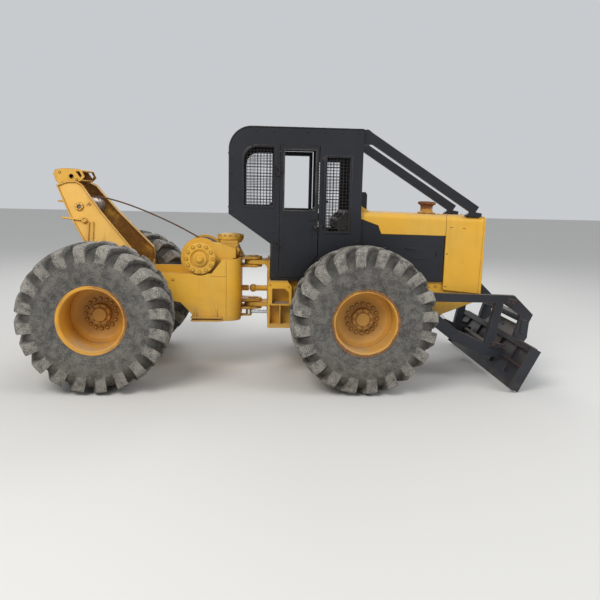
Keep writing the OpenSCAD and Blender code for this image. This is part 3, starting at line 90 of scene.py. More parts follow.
class Paint:
    # One material, and the nodes that its surface is worked out with
    def __init__(self, name):
        self.material = bpy.data.materials.new(name)
        self.material.use_nodes = True
        self.tree = self.material.node_tree
        self.tree.nodes.clear()
        self.place = self.add("TexCoord", {}, {}, "Object")
        split = self.add("SeparateXYZ", {}, {"Vector": self.place})
        self.x, self.y, self.z = (Wire(self, split.socket.node.outputs[i]) for i in range(3))
        facing = self.add("SeparateXYZ", {}, {"Vector": self.add("TexCoord", {}, {}, "Normal")})
        self.upward = Wire(self, facing.socket.node.outputs[2])
        self.leftward = Wire(self, facing.socket.node.outputs[1])

    # Any node: its settings first, then the values or links of its sockets
    def add(self, kind, settings, sockets, output=0):
        made = self.tree.nodes.new("ShaderNode" + kind)
        for key, value in settings.items():
            setattr(made, key, value)
        for key, value in sockets.items():
            if isinstance(value, Wire):
                self.tree.links.new(value.socket, made.inputs[key])
            else:
                made.inputs[key].default_value = value
        return Wire(self, made.outputs[output])

    # Noise from 0 to 1, stretched by the three factors
    def noise(self, scale, detail=4, stretch=(1, 1, 1), shift=0.0):
        spot = self.add("Mapping", {}, {"Vector": self.place, "Scale": stretch, "Location": (shift,) * 3})
        return self.add("TexNoise", {}, {"Vector": spot, "Scale": scale, "Detail": float(detail)})

    # Mix of two colours: first where share is 0, second where it is 1
    def blend(self, share, first, second):
        first, second = ((*c, 1) if isinstance(c, tuple) else c for c in (first, second))
        return self.add("Mix", {"data_type": "RGBA"}, {0: share, 6: first, 7: second}, 2)

    # How sharply the surface turns within width: 0 on a flat face, towards 1 at an edge
    def edge(self, width):
        rounded = self.add("Bevel", {"samples": 6}, {"Radius": width})
        flat = self.add("NewGeometry", {}, {}, "Normal")
        return 1 - self.add("VectorMath", {"operation": "DOT_PRODUCT"}, {0: rounded, 1: flat}, "Value")

    # The shader, with a bump of that depth in metres if a height is given
    def finish(self, colour, roughness, metallic=0.0, height=None, depth=0.001, **fixed):
        sockets = {"Base Color": (*colour, 1) if isinstance(colour, tuple) else colour,
                   "Roughness": roughness, "Metallic": metallic, **fixed}
        if height is not None:
            sockets["Normal"] = self.add("Bump", {}, {"Height": height, "Strength": 1.0, "Distance": depth})
        shader = self.add("BsdfPrincipled", {}, sockets)
        end = self.tree.nodes.new("ShaderNodeOutputMaterial")
        self.tree.links.new(shader.socket, end.inputs["Surface"])
        return self.material


def linear(red, green, blue):
    # Linear colour of sRGB values from 0 to 255
    shares = (red / 255, green / 255, blue / 255)
    return tuple(c / 12.92 if c < 0.0404 else ((c + 0.055) / 1.055) ** 2.4 for c in shares)


rustDark, rustBright = linear(62, 38, 26), linear(132, 78, 42)
dustColour, mudColour = linear(176, 158, 128), linear(96, 78, 58)

# Painted steel: fade is the sun-bleached colour, chips and rust run from 0 to 1, mudTop is a height
paintLooks = {
    "yellowPaint": {"colour": linear(217, 163, 44), "fade": linear(210, 164, 64), "chips": 0.6, "rust": 0.6,
                    "dust": 0.35, "mudTop": 1.0, "streaks": 0.5, "gloss": 0.42},
    "archPaint": {"colour": linear(210, 160, 54), "fade": linear(206, 160, 68), "chips": 0.9, "rust": 0.8,
                  "dust": 0.4, "mudTop": 0.6, "streaks": 0.9, "gloss": 0.5, "innerRust": 0.8},
    "buttPaint": {"colour": linear(200, 148, 50), "fade": linear(182, 140, 66), "chips": 0.9, "rust": 0.9,
                  "dust": 0.4, "mudTop": 0.8, "streaks": 1.0, "gloss": 0.5, "scrapes": 0.85},
    "orangePaint": {"colour": linear(210, 150, 46), "fade": linear(198, 150, 70), "chips": 0.8, "rust": 0.75,
                    "dust": 0.5, "mudTop": 0.7, "streaks": 0.3, "gloss": 0.5, "ringFrom": 0.326},
    "blackPaint": {"colour": linear(15, 17, 23), "fade": linear(26, 29, 37), "chips": 0.14, "rust": 0.15,
                   "dust": 0.2, "mudTop": 0.7, "streaks": 0.35, "gloss": 0.38},
    "bladePaint": {"colour": linear(22, 24, 30), "fade": linear(40, 43, 50), "chips": 0.6, "rust": 0.3,
                   "dust": 0.3, "mudTop": 0.15, "streaks": 0.4, "gloss": 0.45},
}


def paintedSteel(name, look):
    # Layers from below: paint that fades in broad patches, runs of dirt, dust on top faces, rust and chips
    p = Paint(name)
    broad, middle, fine = p.noise(1.1, 3), p.noise(6.5, 6, shift=3.1), p.noise(55, 5, shift=7.7)
    colour = p.blend(broad.rise(0.35, 0.68), look["colour"], look["fade"])
    colour = p.blend(middle.rise(0.3, 0.8) * 0.22, colour, tuple(c * 0.72 for c in look["colour"]))
    runs = p.noise(1.0, 5, (16, 16, 0.9), 1.3)
    run = runs.rise(0.56, 0.74) * broad.rise(0.3, 0.6) * (1 - p.upward.math("ABSOLUTE").rise(0.3, 0.8))
    dirty = tuple(c * 0.5 + m * 0.3 for c, m in zip(look["colour"], rustDark))
    colour = p.blend(run * look["streaks"] * 0.55, colour, dirty)
    dust = p.upward.rise(0.35, 0.95) * middle.rise(0.25, 0.65) * look["dust"]
    colour = p.blend(dust, colour, dustColour)
    wear = p.edge(0.014) * 4.2 + (middle - 0.5) * 1.5 + (fine - 0.5) * 0.9
    edges = wear.rise(0.45, 0.65) * look["chips"]
    spots = (middle * 0.72 + fine * 0.4).rise(0.83 - 0.14 * look["rust"], 0.9 - 0.12 * look["rust"])
    rusty = edges.math("MAXIMUM", spots * look["rust"])
    rustTone = p.blend(fine.rise(0.35, 0.7), rustDark, rustBright)
    colour = p.blend(rusty, colour, rustTone)
    mud = (look["mudTop"] - p.z + (middle - 0.5) * 0.9).rise(0.0, 0.75) * fine.rise(0.2, 0.6) * 0.6
    colour = p.blend(mud, colour, p.blend(fine, mudColour, dustColour))
    rough = (look["gloss"] + middle * 0.12 + dust * 0.4 + mud * 0.5).math("MAXIMUM", rusty * 0.9)
    if "scrapes" in look:
        # Long marks down the plate where loads have rubbed the paint away
        marks = p.noise(1.0, 6, (26, 26, 1.6), 4.4) * 0.75 + broad * 0.35
        scraped = marks.rise(0.56, 0.64) * look["scrapes"]
        bare = p.blend(fine.rise(0.3, 0.7), linear(112, 88, 66), linear(86, 56, 36))
        colour = p.blend(scraped, colour, bare)
    if "innerRust" in look:
        # Faces that look towards the machine's middle: minus the normal's share along the place's own side
        inward = (p.y.math("SIGN") * p.leftward * -1.0).rise(0.25, 0.7)
        inner = inward * (middle * 0.8 + fine * 0.4).rise(0.38, 0.58)
        colour = p.blend(inner * look["innerRust"], colour, rustTone)
    if "ringFrom" in look:
        # Rust on a wheel's flange: distance from the nearer axle's centre line
        near = (p.x - frontX).math("ABSOLUTE").math("MINIMUM", (p.x - rearX).math("ABSOLUTE"))
        radius = (near * near + (p.z - axleZ) * (p.z - axleZ)).math("SQRT")
        flange = (radius + (middle - 0.5) * 0.03).rise(look["ringFrom"], look["ringFrom"] + 0.008)
        colour = p.blend(flange * broad.rise(0.42, 0.56) * 0.85, colour, rustTone)
        dish = (0.30 - radius + (middle - 0.5) * 0.10).rise(0.0, 0.12) * 0.4
        colour = p.blend(dish, colour, linear(112, 80, 44))
    height = middle * 0.5 + fine * 0.16 - rusty * 0.25 + mud * fine * 0.8
    return p.finish(colour, rough, 0.0, height, 0.0022, **{"Specular IOR Level": 0.45})


def tyreRubber(name):
    # Grey weathered rubber: the attribute "tread" is 1 on a lug's top, and the groove attribute is 1 deep
    # between lugs, where it darkens the rubber as painted shade
    p = Paint(name)
    tread = p.add("Attribute", {"attribute_name": "tread"}, {}, "Fac")
    grooveShade = p.add("Attribute", {"attribute_name": "grooveShade"}, {}, "Fac")
    middle, fine, broad = p.noise(16, 8), p.noise(110, 6, shift=2.2), p.noise(2.1, 3, shift=5.0)
    grain = middle * 0.45 + fine * 0.55
    rubber = p.blend(grain.rise(0.38, 0.62), linear(70, 69, 67), linear(114, 111, 105))
    dusty = p.blend(fine.rise(0.3, 0.75), linear(122, 119, 115), linear(182, 176, 164))
    dust = tread * 0.85 * (broad + 0.4) * (middle * 0.6 + fine * 0.4).rise(0.3, 0.6)
    colour = p.blend(dust.math("MINIMUM", 1.0), rubber, dusty)
    # Painted shade: the rubber is darkened deep in the gaps between the lugs
    colour = p.blend(grooveShade * 0.6 * (fine + 0.4), colour, linear(48, 45, 42))
    mud = (0.62 - p.z + (middle - 0.5) * 0.8).rise(0.0, 0.6) * fine.rise(0.3, 0.7) * 0.35
    colour = p.blend(mud, colour, mudColour)
    setting = {"feature": "DISTANCE_TO_EDGE"}
    cells = p.add("TexVoronoi", setting, {"Vector": p.place, "Scale": 42.0}, "Distance")
    crack = 1 - cells.rise(0.0, 0.05)
    height = middle * 0.5 + fine * 0.3 - crack * 0.25
    return p.finish(colour, 0.82 + fine * 0.12, 0.0, height, 0.006, **{"Specular IOR Level": 0.3})


def bareSteel(name, tone, dark, shine):
    # Bare metal worn bright on its high places, with rust in patches
    p = Paint(name)
    middle, fine = p.noise(14, 6), p.noise(120, 4, shift=4.0)
    rusty = (middle * 0.8 + fine * 0.3).rise(0.5, 0.68)
    metal = p.blend(fine, tone, tuple(c * 0.7 for c in tone))
    colour = p.blend(rusty, metal, p.blend(fine.rise(0.3, 0.7), dark, rustBright))
    return p.finish(colour, 0.36 + rusty * 0.5, (1 - rusty) * shine, middle * 0.4 + fine * 0.3, 0.0012)


def chromeRod(name):
    # Bright rod, finely scored round, with patches of grime
    p = Paint(name)
    fine = p.noise(70, 4, (1, 6, 6))
    grime = p.noise(9, 5).rise(0.5, 0.72)
    colour = p.blend(grime * 0.6, linear(205, 207, 210), linear(96, 82, 66))
    return p.finish(colour, 0.13 + fine * 0.08 + grime * 0.45, 1 - grime * 0.7, fine, 0.0001)


def ironCasting(name):
    # Rough grey casting, browner in patches
    p = Paint(name)
    middle, fine = p.noise(8, 6), p.noise(140, 4)
    colour = p.blend(middle.rise(0.4, 0.7), linear(96, 98, 92), linear(52, 44, 36))
    return p.finish(colour, 0.55 + middle * 0.3, 0.25, fine * 0.6 + middle * 0.5, 0.002)


def rustyPipe(name):
    # Rust all over, with yellow paint left in bands
    p = Paint(name)
    middle, fine = p.noise(16, 6), p.noise(90, 5, shift=1.7)
    rust = p.blend(fine.rise(0.3, 0.7), rustDark, linear(150, 96, 58))
    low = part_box("exhaust")[0].z
    rings = (((p.z - low) * 42.0).math("SINE") + (middle - 0.5) * 2.4).rise(0.1, 0.7)
    colour = p.blend(rings * 0.85, rust, p.blend(fine, linear(206, 156, 58), linear(176, 128, 60)))
    return p.finish(colour, 0.85 - rings * 0.25, 0.0, middle * 0.6 + fine * 0.5, 0.002)


def vinyl(name):
    # Black coated cloth: a pebbled grain of small cells, greyer where it is worn
    p = Paint(name)
    cells = p.add("TexVoronoi", {}, {"Vector": p.place, "Scale": 330.0}, "Distance")
    worn = p.noise(5, 5).rise(0.45, 0.75)
    colour = p.blend(worn, linear(26, 26, 28), linear(74, 70, 66))
    return p.finish(colour, 0.52 + worn * 0.25, 0.0, cells * 0.6 + p.noise(24, 4), 0.0008)


def dialPaint(name):
    # White dial, with a fine dark speckle in place of a scale
    p = Paint(name)
    speckle = p.noise(420, 2).rise(0.55, 0.62)
    colour = p.blend(speckle, linear(214, 210, 198), linear(40, 38, 36))
    return p.finish(colour, 0.3, 0.0)


def moulded(name, tone):
    # Moulded plastic, dusty in patches
    p = Paint(name)
    fine, middle = p.noise(260, 3), p.noise(5, 5)
    colour = p.blend(middle.rise(0.35, 0.75) * 0.5, tone, linear(98, 92, 84))
    return p.finish(colour, 0.55 + middle * 0.2, 0.0, fine, 0.0003)


finishes = {name: paintedSteel(name, look) for name, look in paintLooks.items()}
finishes.update({name: make(name, *values) for name, (make, *values) in {
    "tyreRubber": (tyreRubber,), "wornSteel": (bareSteel, linear(150, 140, 128), rustDark, 0.75),
    "cableSteel": (bareSteel, linear(112, 96, 80), linear(70, 46, 32), 0.5), "chromeRod": (chromeRod,),
    "ironCasting": (ironCasting,), "rustyPipe": (rustyPipe,), "vinyl": (vinyl,),
    "darkPlastic": (moulded, linear(30, 30, 32)), "dialFace": (dialPaint,),
}.items()})
nodeFinish = {
    "yellowPaint": ["front_frame", "front_floor", "frame_pins", "tow_lug", "rear_floor", "hitch",
                    "front_axle", "step_blocks", "hood", "nose", "rear_frame", "rear_axle", "winch_case"],
    "archPaint": ["arch", "fairlead", "rear_pivot", "front_wall"],
    "buttPaint": ["butt_plate"],
    "orangePaint": [f"rim_{wheel}" for wheel in wheels],
    "blackPaint": ["side_panels", "hood_box", "cab_floor", "cab_side_left", "cab_side_right", "cab_roof",
                   "cab_rear", "cab_front", "door_left", "door_right", "sweeps", "grille", "guard_meshes"],
    "bladePaint": ["blade_frame", "blade"] + [ram.format("barrel") for ram in rams],
    "tyreRubber": [f"tyre_{wheel}" for wheel in wheels],
    "chromeRod": [ram.format("rod") for ram in rams],
    "ironCasting": ["engine_block"],
    "wornSteel": ["winch_drum", "roller_cross", "roller_left", "roller_right"],
    "cableSteel": ["winch_cable"],
    "rustyPipe": ["exhaust"],
    "vinyl": ["seat"],
    "darkPlastic": ["dash", "steering_wheel"],
}
for finishName, members in nodeFinish.items():
    for member in members:
        mesh = nodes[member].data
        mesh.materials.clear()
        mesh.materials.append(finishes[finishName])
        mesh.polygons.foreach_set("material_index", np.zeros(len(mesh.polygons), np.int32))
print("finishes ready,", len(finishes))


# Mesh making
def gridFaces(rows, columns):
    # Quads between neighbouring rows, closed round the columns
    i, j = np.meshgrid(np.arange(rows - 1), np.arange(columns), indexing="ij")
    k = (j + 1) % columns
    low, high = i * columns, (i + 1) * columns
    return np.stack([low + j, low + k, high + k, high + j], -1).reshape(-1, 4)


def cappedFaces(rows, columns):
    # The same quads, with the first and the last row filled
    last = (rows - 1) * columns
    ends = [list(range(columns))[::-1], [last + k for k in range(columns)]]
    return gridFaces(rows, columns).tolist() + ends


def joinShapes(shapes):
    # Several (points, faces) as one: each list of faces is shifted by the points before it
    points, faces, count = [], [], 0
    for shapePoints, shapeFaces in shapes:
        flat = np.asarray(shapePoints, float).reshape(-1, 3)
        points.append(flat)
        faces += [[int(v) + count for v in f] for f in shapeFaces]
        count += len(flat)
    return np.concatenate(points), faces


def makePiece(name, shapes, finish, body, smooth=35):
    # One mesh of the shapes, on its body and in the slot of its finish; edges over smooth degrees stay sharp
    points, faces = joinShapes(shapes)
    mesh = bpy.data.meshes.new(name)
    mesh.from_pydata(points.tolist(), [], faces)
    mesh.update()
    mesh.polygons.foreach_set("use_smooth", np.ones(len(mesh.polygons), bool))
    mesh.set_sharp_from_angle(angle=math.radians(smooth))
    mesh.materials.append(finishes[finish])
    piece = bpy.data.objects.new(name, mesh)
    bpy.context.scene.collection.objects.link(piece)
    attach(piece, body)
    return piece


def crossAxes(axis):
    # The axis at unit length, and two directions square to it and to each other
    axis = np.asarray(axis, float) / np.linalg.norm(axis)
    first = np.cross(axis, [0, 0, 1] if abs(axis[2]) < 0.9 else [1, 0, 0])
    first /= np.linalg.norm(first)
    return axis, first, np.cross(axis, first)


def roundAngles(count):
    return np.linspace(0, 2 * np.pi, count, endpoint=False)


def tube(path, radius, around=8, closed=False):
    # Circle of radius carried along the path: point = path + r (cos a * side + sin a * over)
    path = np.asarray(path, float)
    along = np.roll(path, -1, 0) - np.roll(path, 1, 0) if closed else np.gradient(path, axis=0)
    along /= np.linalg.norm(along, axis=1, keepdims=True)
    # The guide is the axis that the path keeps to least, with a small bias where two are alike
    spread = path.max(0) - path.min(0)
    guide = np.zeros(3)
    guide[int(np.argmin(spread + np.array([0, 1e-9, 2e-9])))] = 1
    side = np.cross(along, guide)
    side /= np.linalg.norm(side, axis=1, keepdims=True)
    over = np.cross(along, side)
    a = roundAngles(around)
    ring = side[:, None] * np.cos(a)[None, :, None] + over[:, None] * np.sin(a)[None, :, None]
    points = path[:, None] + ring * np.reshape(radius, (-1, 1, 1))
    if closed:
        return points.reshape(-1, 3), (gridFaces(len(path) + 1, around) % (len(path) * around)).tolist()
    return points.reshape(-1, 3), cappedFaces(len(path), around)


def turn(profile, centre, axis, around=48):
    # Outline of (radius, distance along the axis) turned about it, its two ends closed to the axis
    axis, first, second = crossAxes(axis)
    a = roundAngles(around)
    ring = first * np.cos(a)[:, None] + second * np.sin(a)[:, None]
    profile = np.asarray(profile, float)
    points = np.asarray(centre) + profile[:, None, 1:] * axis + profile[:, None, :1] * ring
    return points.reshape(-1, 3), cappedFaces(len(profile), around)


def boltShape(across):
    # Hex head on a round washer, for a bolt of that width: outlines of (radius, height)
    r = across / math.sqrt(3)
    washer = [(across * 0.86, 0), (across * 0.86, across * 0.12)]
    head = [(r, across * 0.10), (r, across * 0.55), (r * 0.86, across * 0.64)]
    return joinShapes([turn(washer, (0, 0, 0), (0, 0, 1), 12), turn(head, (0, 0, 0), (0, 0, 1), 6)])


boltSink = 0.001


def bolts(places, axis, across=0.03, seed=1):
    # A bolt at each place, standing out along the axis, each turned by its own angle
    axis, first, second = crossAxes(axis)
    shape, faces = boltShape(across)
    turns = np.random.default_rng(seed).uniform(0, np.pi / 3, len(places)) - np.pi / 2
    c, s = np.cos(turns)[:, None], np.sin(turns)[:, None]
    x, y = shape[:, 0] * c - shape[:, 1] * s, shape[:, 0] * s + shape[:, 1] * c
    points = np.asarray(places, float)[:, None] - axis * boltSink + x[..., None] * first
    points = points + y[..., None] * second + shape[None, :, 2:] * axis
    starts = range(0, len(places) * len(shape), len(shape))
    return points.reshape(-1, 3), [[v + start for v in f] for start in starts for f in faces]


def boltRing(centre, axis, radius, count, across, seed):
    # count bolts on a circle about the axis
    _, first, second = crossAxes(axis)
    a = roundAngles(count)
    ring = radius * (np.cos(a)[:, None] * first + np.sin(a)[:, None] * second)
    return bolts(np.asarray(centre) + ring, axis, across, seed)


def onSide(side, originX, places):
    # Places whose x is counted from an axle, and whose y from the middle towards the given side
    return np.asarray(places, float) * [1, side, 1] + [originX, 0, 0]


def sideBolts(side, originX, face, across, seed, spots):
    # Bolts at (x from an axle, height) on a wall that faces left or right
    return bolts(onSide(side, originX, [(x, face, z) for x, z in spots]), (0, side, 0), across, seed)


def sideTurn(side, originX, place, profile, around=32):
    # Turned part whose axis points left or right
    return turn(profile, onSide(side, originX, place), (0, side, 0), around)


# Tyres
tyreSizes = {
    "lugs": 20, "sweep": 12.0, "seed": 7,
    # Columns within one lug pitch, and which of them lie on the left and on the right lug's top
    "columns": [0.03, 0.09, 0.15, 0.18, 0.20, 0.34, 0.48, 0.50,
                0.53, 0.59, 0.65, 0.68, 0.70, 0.84, 0.98, 1.00],
    "leftTop": (0.18, 0.50), "rightTop": (0.68, 1.00), "firstColumn": 0.59,
    # Casing from the middle to the bead: distance from the middle, radius
    "casing": [(0, 0.732), (0.018, 0.732), (0.08, 0.730), (0.147, 0.723), (0.205, 0.708), (0.243, 0.690),
               (0.262, 0.670), (0.273, 0.648), (0.281, 0.622), (0.2875, 0.597), (0.2905, 0.585),
               (0.2905, 0.577), (0.295, 0.55), (0.295, 0.52), (0.2925, 0.49), (0.288, 0.465), (0.286, 0.455),
               (0.289, 0.45), (0.284, 0.425), (0.276, 0.40), (0.268, 0.382), (0.2655, 0.374), (0.268, 0.366),
               (0.262, 0.352), (0.244, 0.3315)],
    # Lug surface over the same rows
    "lugTop": [(0, 0.779), (0.018, 0.780), (0.08, 0.7785), (0.147, 0.775), (0.205, 0.768), (0.25, 0.758),
               (0.278, 0.748), (0.291, 0.734), (0.2945, 0.70), (0.295, 0.655), (0.2945, 0.60),
               (0.2915, 0.580)],
    # How far along the sweep the lug is at these distances from the middle
    "sweepAt": (0.018, 0.1475, 0.289), "sweepShare": (1.0, 0.5, 0.0),
    # Lugs grow wider towards the shoulder by this share of their width, and wear by this much
    "flare": 0.55, "flareFrom": (0.05, 0.24), "wear": 0.09,
}


def tyreShape(centre, sizes):
    # Rows across and columns around: point = casing + (lug - casing) * mask, angle sheared by the sweep
    casing, top = np.array(sizes["casing"]), np.array(sizes["lugTop"])
    lug = casing.copy()
    lug[:len(top)] = top
    rows = np.concatenate([-np.arange(len(casing) - 1, 0, -1), np.arange(len(casing))])
    half, sign = np.abs(rows), np.sign(rows)
    pitch = 2 * np.pi / sizes["lugs"]
    columns = np.array(sizes["columns"])
    angles = ((np.arange(sizes["lugs"])[:, None] + columns - sizes["firstColumn"]) * pitch).ravel() + np.pi
    share = np.interp(casing[half, 0], sizes["sweepAt"], sizes["sweepShare"])
    # Columns near a lug move away from its middle, and those of the gap between lugs close up
    wide = 1 + sizes["flare"] * np.interp(casing[half, 0], sizes["flareFrom"], [0, 1])
    shift = np.zeros((len(rows), len(columns)))
    mask = np.zeros((len(rows), len(angles)))
    for s, (low, high) in ((1, sizes["leftTop"]), (-1, sizes["rightTop"])):
        middle, reach = (low + high) / 2, (high - low) / 2 + 0.03
        off = (columns - middle + 0.5) % 1 - 0.5
        for row in np.flatnonzero(sign == s):
            spread = reach * wide[row]
            shift[row] = np.interp(off, [-0.5, -reach, reach, 0.5], [-0.5, -spread, spread, 0.5]) - off
        on = ((columns >= low - 1e-6) & (columns <= high + 1e-6)).astype(float)
        mask[sign == s] = np.tile(on, sizes["lugs"])
    angle = angles[None] + np.tile(shift,
                                   sizes["lugs"]) * pitch + np.radians(sizes["sweep"]) * (share - 1)[:, None]
    chips = np.random.default_rng(sizes["seed"]).normal(0, 1, mask.shape)
    chips = (chips + np.roll(chips, 1, 0) + np.roll(chips, 1, 1)) / 3
    mask = mask * (1 - sizes["wear"] * np.clip(chips, 0, 3))
    mask[half >= len(top)] = 0
    across, radius = (casing[half, k][:, None] * (1 - mask) + lug[half, k][:, None] * mask for k in (0, 1))
    points = np.stack([centre[0] + radius * np.sin(angle), centre[1] + sign[:, None] * across,
                       centre[2] + radius * np.cos(angle)], -1)
    tread = np.where(mask > 0.5, 1.0, 0.0) * np.interp(half, [0, 8, 10, 11], [1, 1, 0.7, 0])[:, None]
    # Mask of the gaps between lugs, where the rubber's finish paints shade
    grooveShade = np.where(mask < 0.5, 1.0, 0.0) * np.interp(half, [0, 7, 10], [1, 1, 0])[:, None]
    # One row of faces more joins the two beads and so closes the bore
    faces = gridFaces(len(rows) + 1, len(angles)) % (len(rows) * len(angles))
    return points.reshape(-1, 3), faces, tread.ravel(), grooveShade.ravel()


def buildTyres(sizes):
    for wheel in wheels:
        points, faces, tread, grooveShade = tyreShape(np.array(jointAt[f"wheel_{wheel}_turn"]), sizes)
        piece = makePiece(f"tyreBody_{wheel}", [(points, faces)], "tyreRubber", f"wheel_{wheel}", 32)
        # tread marks the lug tops for dust, and the groove mask marks where shade is painted
        for key, values in (("tread", tread), ("grooveShade", grooveShade)):
            layer = piece.data.attributes.new(key, "FLOAT", "POINT")
            layer.data.foreach_set("value", values.astype(np.float32))
        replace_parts(piece, f"tyre_{wheel}")


buildTyres(tyreSizes)
print("tyres built")

# Wheels: studs on the disc, whose face is this far out from the wheel's middle, and bolts of the hub
wheelSizes = {"studRadius": 0.16, "studs": 16, "stud": 0.030, "front": -0.026, "rear": -0.146, "hub": 0.093,
              "hubBolts": 8, "hubBolt": 0.018, "hubOut": 0.060}


def buildWheelDetail(sizes):
    for wheel in wheels:
        end, sideName = wheel.split("_")
        side = sides[sideName]
        axis = (0, side, 0)
        disc = np.array(jointAt[f"wheel_{wheel}_turn"]) + np.array([0, side * sizes[end], 0])
        hub = disc + np.array([0, side * sizes["hubOut"], 0])
        makePiece(f"wheelNuts_{wheel}", [
            boltRing(disc, axis, sizes["studRadius"], sizes["studs"], sizes["stud"], 3),
            boltRing(hub, axis, sizes["hub"], sizes["hubBolts"], sizes["hubBolt"], 4),
        ], "orangePaint", f"wheel_{wheel}")


buildWheelDetail(wheelSizes)
print("wheel detail built")

# Window guards of crossing wires, each wire bent over and under the others
guardSizes = {
    "pitch": 0.036, "wire": 0.0034, "wave": 0.0024, "tuck": 0.006,
    # Rear edge, front edge, low, high and the radius of the upper rear corner, from the front axle
    "sideWindows": [(-1.290, -0.960, 1.940, 2.580, 0.150), (-0.376, -0.113, 1.670, 2.486, 0.0)],
    "sideY": 0.4775,
    # Place along X, half width, low, high
    "endWindows": [(-1.4325, 0.360, 1.960, 2.480), (0.004, 0.395, 1.990, 2.600)],
}


def guardWires(low, high, base, top, corner, sizes):
    # Upright wires and level ones as (place along, distance from the plane, height), where the distance
    # is a cosine of the wire's length
    tuck, pitch = sizes["tuck"], sizes["pitch"]
    across, up = max(2, round((high - low) / pitch)), max(2, round((top - base) / pitch))

    def cut(gap):
        # How much the corner's arc takes off a wire that runs this far from its edge
        return corner - math.sqrt(max(corner ** 2 - max(corner - gap, 0) ** 2, 0))
    wires = []
    for k, u in enumerate(np.linspace(low, high, across + 1)[1:-1]):
        z = np.arange(base - tuck, top - cut(u - low) + tuck, pitch / 4)
        wave = sizes["wave"] * np.cos(np.pi * (z - base) / ((top - base) / up) + np.pi * k)
        wires.append(np.stack([np.full_like(z, u), wave, z], 1))
    for k, z in enumerate(np.linspace(base, top, up + 1)[1:-1]):
        u = np.arange(low + cut(top - z) - tuck, high + tuck, pitch / 4)
        wave = -sizes["wave"] * np.cos(np.pi * (u - low) / ((high - low) / across) + np.pi * k)
        wires.append(np.stack([u, wave, np.full_like(u, z)], 1))
    return wires


def buildGuards(sizes):
    paths = [wire + np.array([frontX, side * sizes["sideY"], 0]) for side in sides.values()
             for window in sizes["sideWindows"] for wire in guardWires(*window, sizes)]
    for x, half, base, top in sizes["endWindows"]:
        paths += [np.stack([frontX + x + wire[:, 1], wire[:, 0], wire[:, 2]], 1)
                  for wire in guardWires(-half, half, base, top, 0, sizes)]
    wires = [tube(path, sizes["wire"], 5) for path in paths]
    piece = makePiece("guardWires", wires, "blackPaint", "front_frame", 60)
    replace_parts(piece, "guard_meshes")


buildGuards(guardSizes)
print("guards woven")

# Seat: padded cushion and back on a sprung base
seatSizes = {
    "cushion": {"centre": (-0.695, 0, 1.535), "half": (0.208, 0.228, 0.048), "lean": 0, "crown": 0.012},
    "back": {"centre": (-0.919, 0, 1.805), "half": (0.196, 0.220, 0.040), "lean": 106, "crown": 0.010},
    "seams": (-0.10, 0.10), "seamDepth": 0.007, "seamWidth": 0.012, "voxel": 0.006,
    "frames": 20, "pressure": 4.0, "cap": 0.009, "fill": 0.7,
    # Bellows: place along X, low, high, half width, depth and height of a fold
    "bellowsX": -0.73, "bellowsLow": 1.1405, "bellowsHigh": 1.478,
    "bellowsHalf": 0.128, "foldDepth": 0.010, "fold": 0.046,
}


def cushionShape(half, crown, steps=64):
    # Rounded box by powers: |x/a|^5 + |y/b|^5 + |z/c|^2.6 = 1, crowned where it is thickest
    rise, round_ = np.linspace(-np.pi / 2, np.pi / 2, steps // 2 + 1), roundAngles(steps) - np.pi
    u, v = np.meshgrid(rise, round_, indexing="ij")

    def power(value, exponent):
        return np.sign(value) * np.abs(value) ** exponent
    x = half[0] * power(np.cos(u), 2 / 2.6) * power(np.cos(v), 2 / 5)
    y = half[1] * power(np.cos(u), 2 / 2.6) * power(np.sin(v), 2 / 5)
    z = half[2] * power(np.sin(u), 2 / 2.6)
    swellX, swellY = (np.cos(np.clip(c / size, -1, 1) * 1.4) for c, size in ((x, half[0]), (y, half[1])))
    z = z + crown * swellX * swellY * (u > 0)
    return np.stack([x, y, z], -1).reshape(-1, 3), cappedFaces(len(u), steps)


def readPoints(piece):
    co = np.zeros(len(piece.data.vertices) * 3, np.float32)
    piece.data.vertices.foreach_get("co", co)
    return co.reshape(-1, 3)


def inflate(piece, sizes):
    # Voxel remesh, some frames of cloth under inner pressure, and each point's move held under the cap
    scene = bpy.context.scene
    bpy.context.view_layer.objects.active = piece
    remesh = piece.modifiers.new("even", "REMESH")
    remesh.mode, remesh.voxel_size = "VOXEL", sizes["voxel"]
    bpy.ops.object.modifier_apply(modifier=remesh.name)
    before = readPoints(piece)
    cloth = piece.modifiers.new("stuffing", "CLOTH")
    cloth.settings.use_pressure = True
    cloth.settings.uniform_pressure_force = sizes["pressure"]
    cloth.settings.effector_weights.gravity = 0
    cloth.point_cache.frame_start, cloth.point_cache.frame_end = 1, sizes["frames"]
    for step in range(1, sizes["frames"] + 1):
        scene.frame_set(step)
    bpy.ops.object.modifier_apply(modifier=cloth.name)
    move = readPoints(piece) - before
    size = np.linalg.norm(move, axis=1, keepdims=True)
    move *= np.minimum(1, sizes["cap"] / np.maximum(size, 1e-9))
    piece.data.vertices.foreach_set("co", (before + move).ravel())
    scene.frame_set(1)


def buildSeat(sizes):
    for name in ("cushion", "back"):
        part = sizes[name]
        points, faces = cushionShape(part["half"], part["crown"])
        mesh = bpy.data.meshes.new(name)
        mesh.from_pydata(points.tolist(), [], faces)
        piece = bpy.data.objects.new(f"seat{name.capitalize()}", mesh)
        bpy.context.scene.collection.objects.link(piece)
        inflate(piece, sizes)
        co = readPoints(piece)
        # Sewn channels pressed into the top, with a rounded profile
        for seam in sizes["seams"]:
            press = np.exp(-((co[:, 1] - seam) / sizes["seamWidth"]) ** 2) * sizes["seamDepth"]
            co[:, 2] -= press * np.clip(co[:, 2] / part["half"][2], 0, 1)
        lean = Matrix.Rotation(math.radians(-part["lean"]), 3, "Y")
        co = co @ np.array(lean).T + np.array(part["centre"]) + np.array([frontX, 0, 0])
        piece.data.vertices.foreach_set("co", co.ravel())
        piece.data.polygons.foreach_set("use_smooth", np.ones(len(piece.data.polygons), bool))
        piece.data.materials.append(finishes["vinyl"])
        piece.data.update()
        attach(piece, "front_frame")
        if name == "cushion":
            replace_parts(piece, "seat")


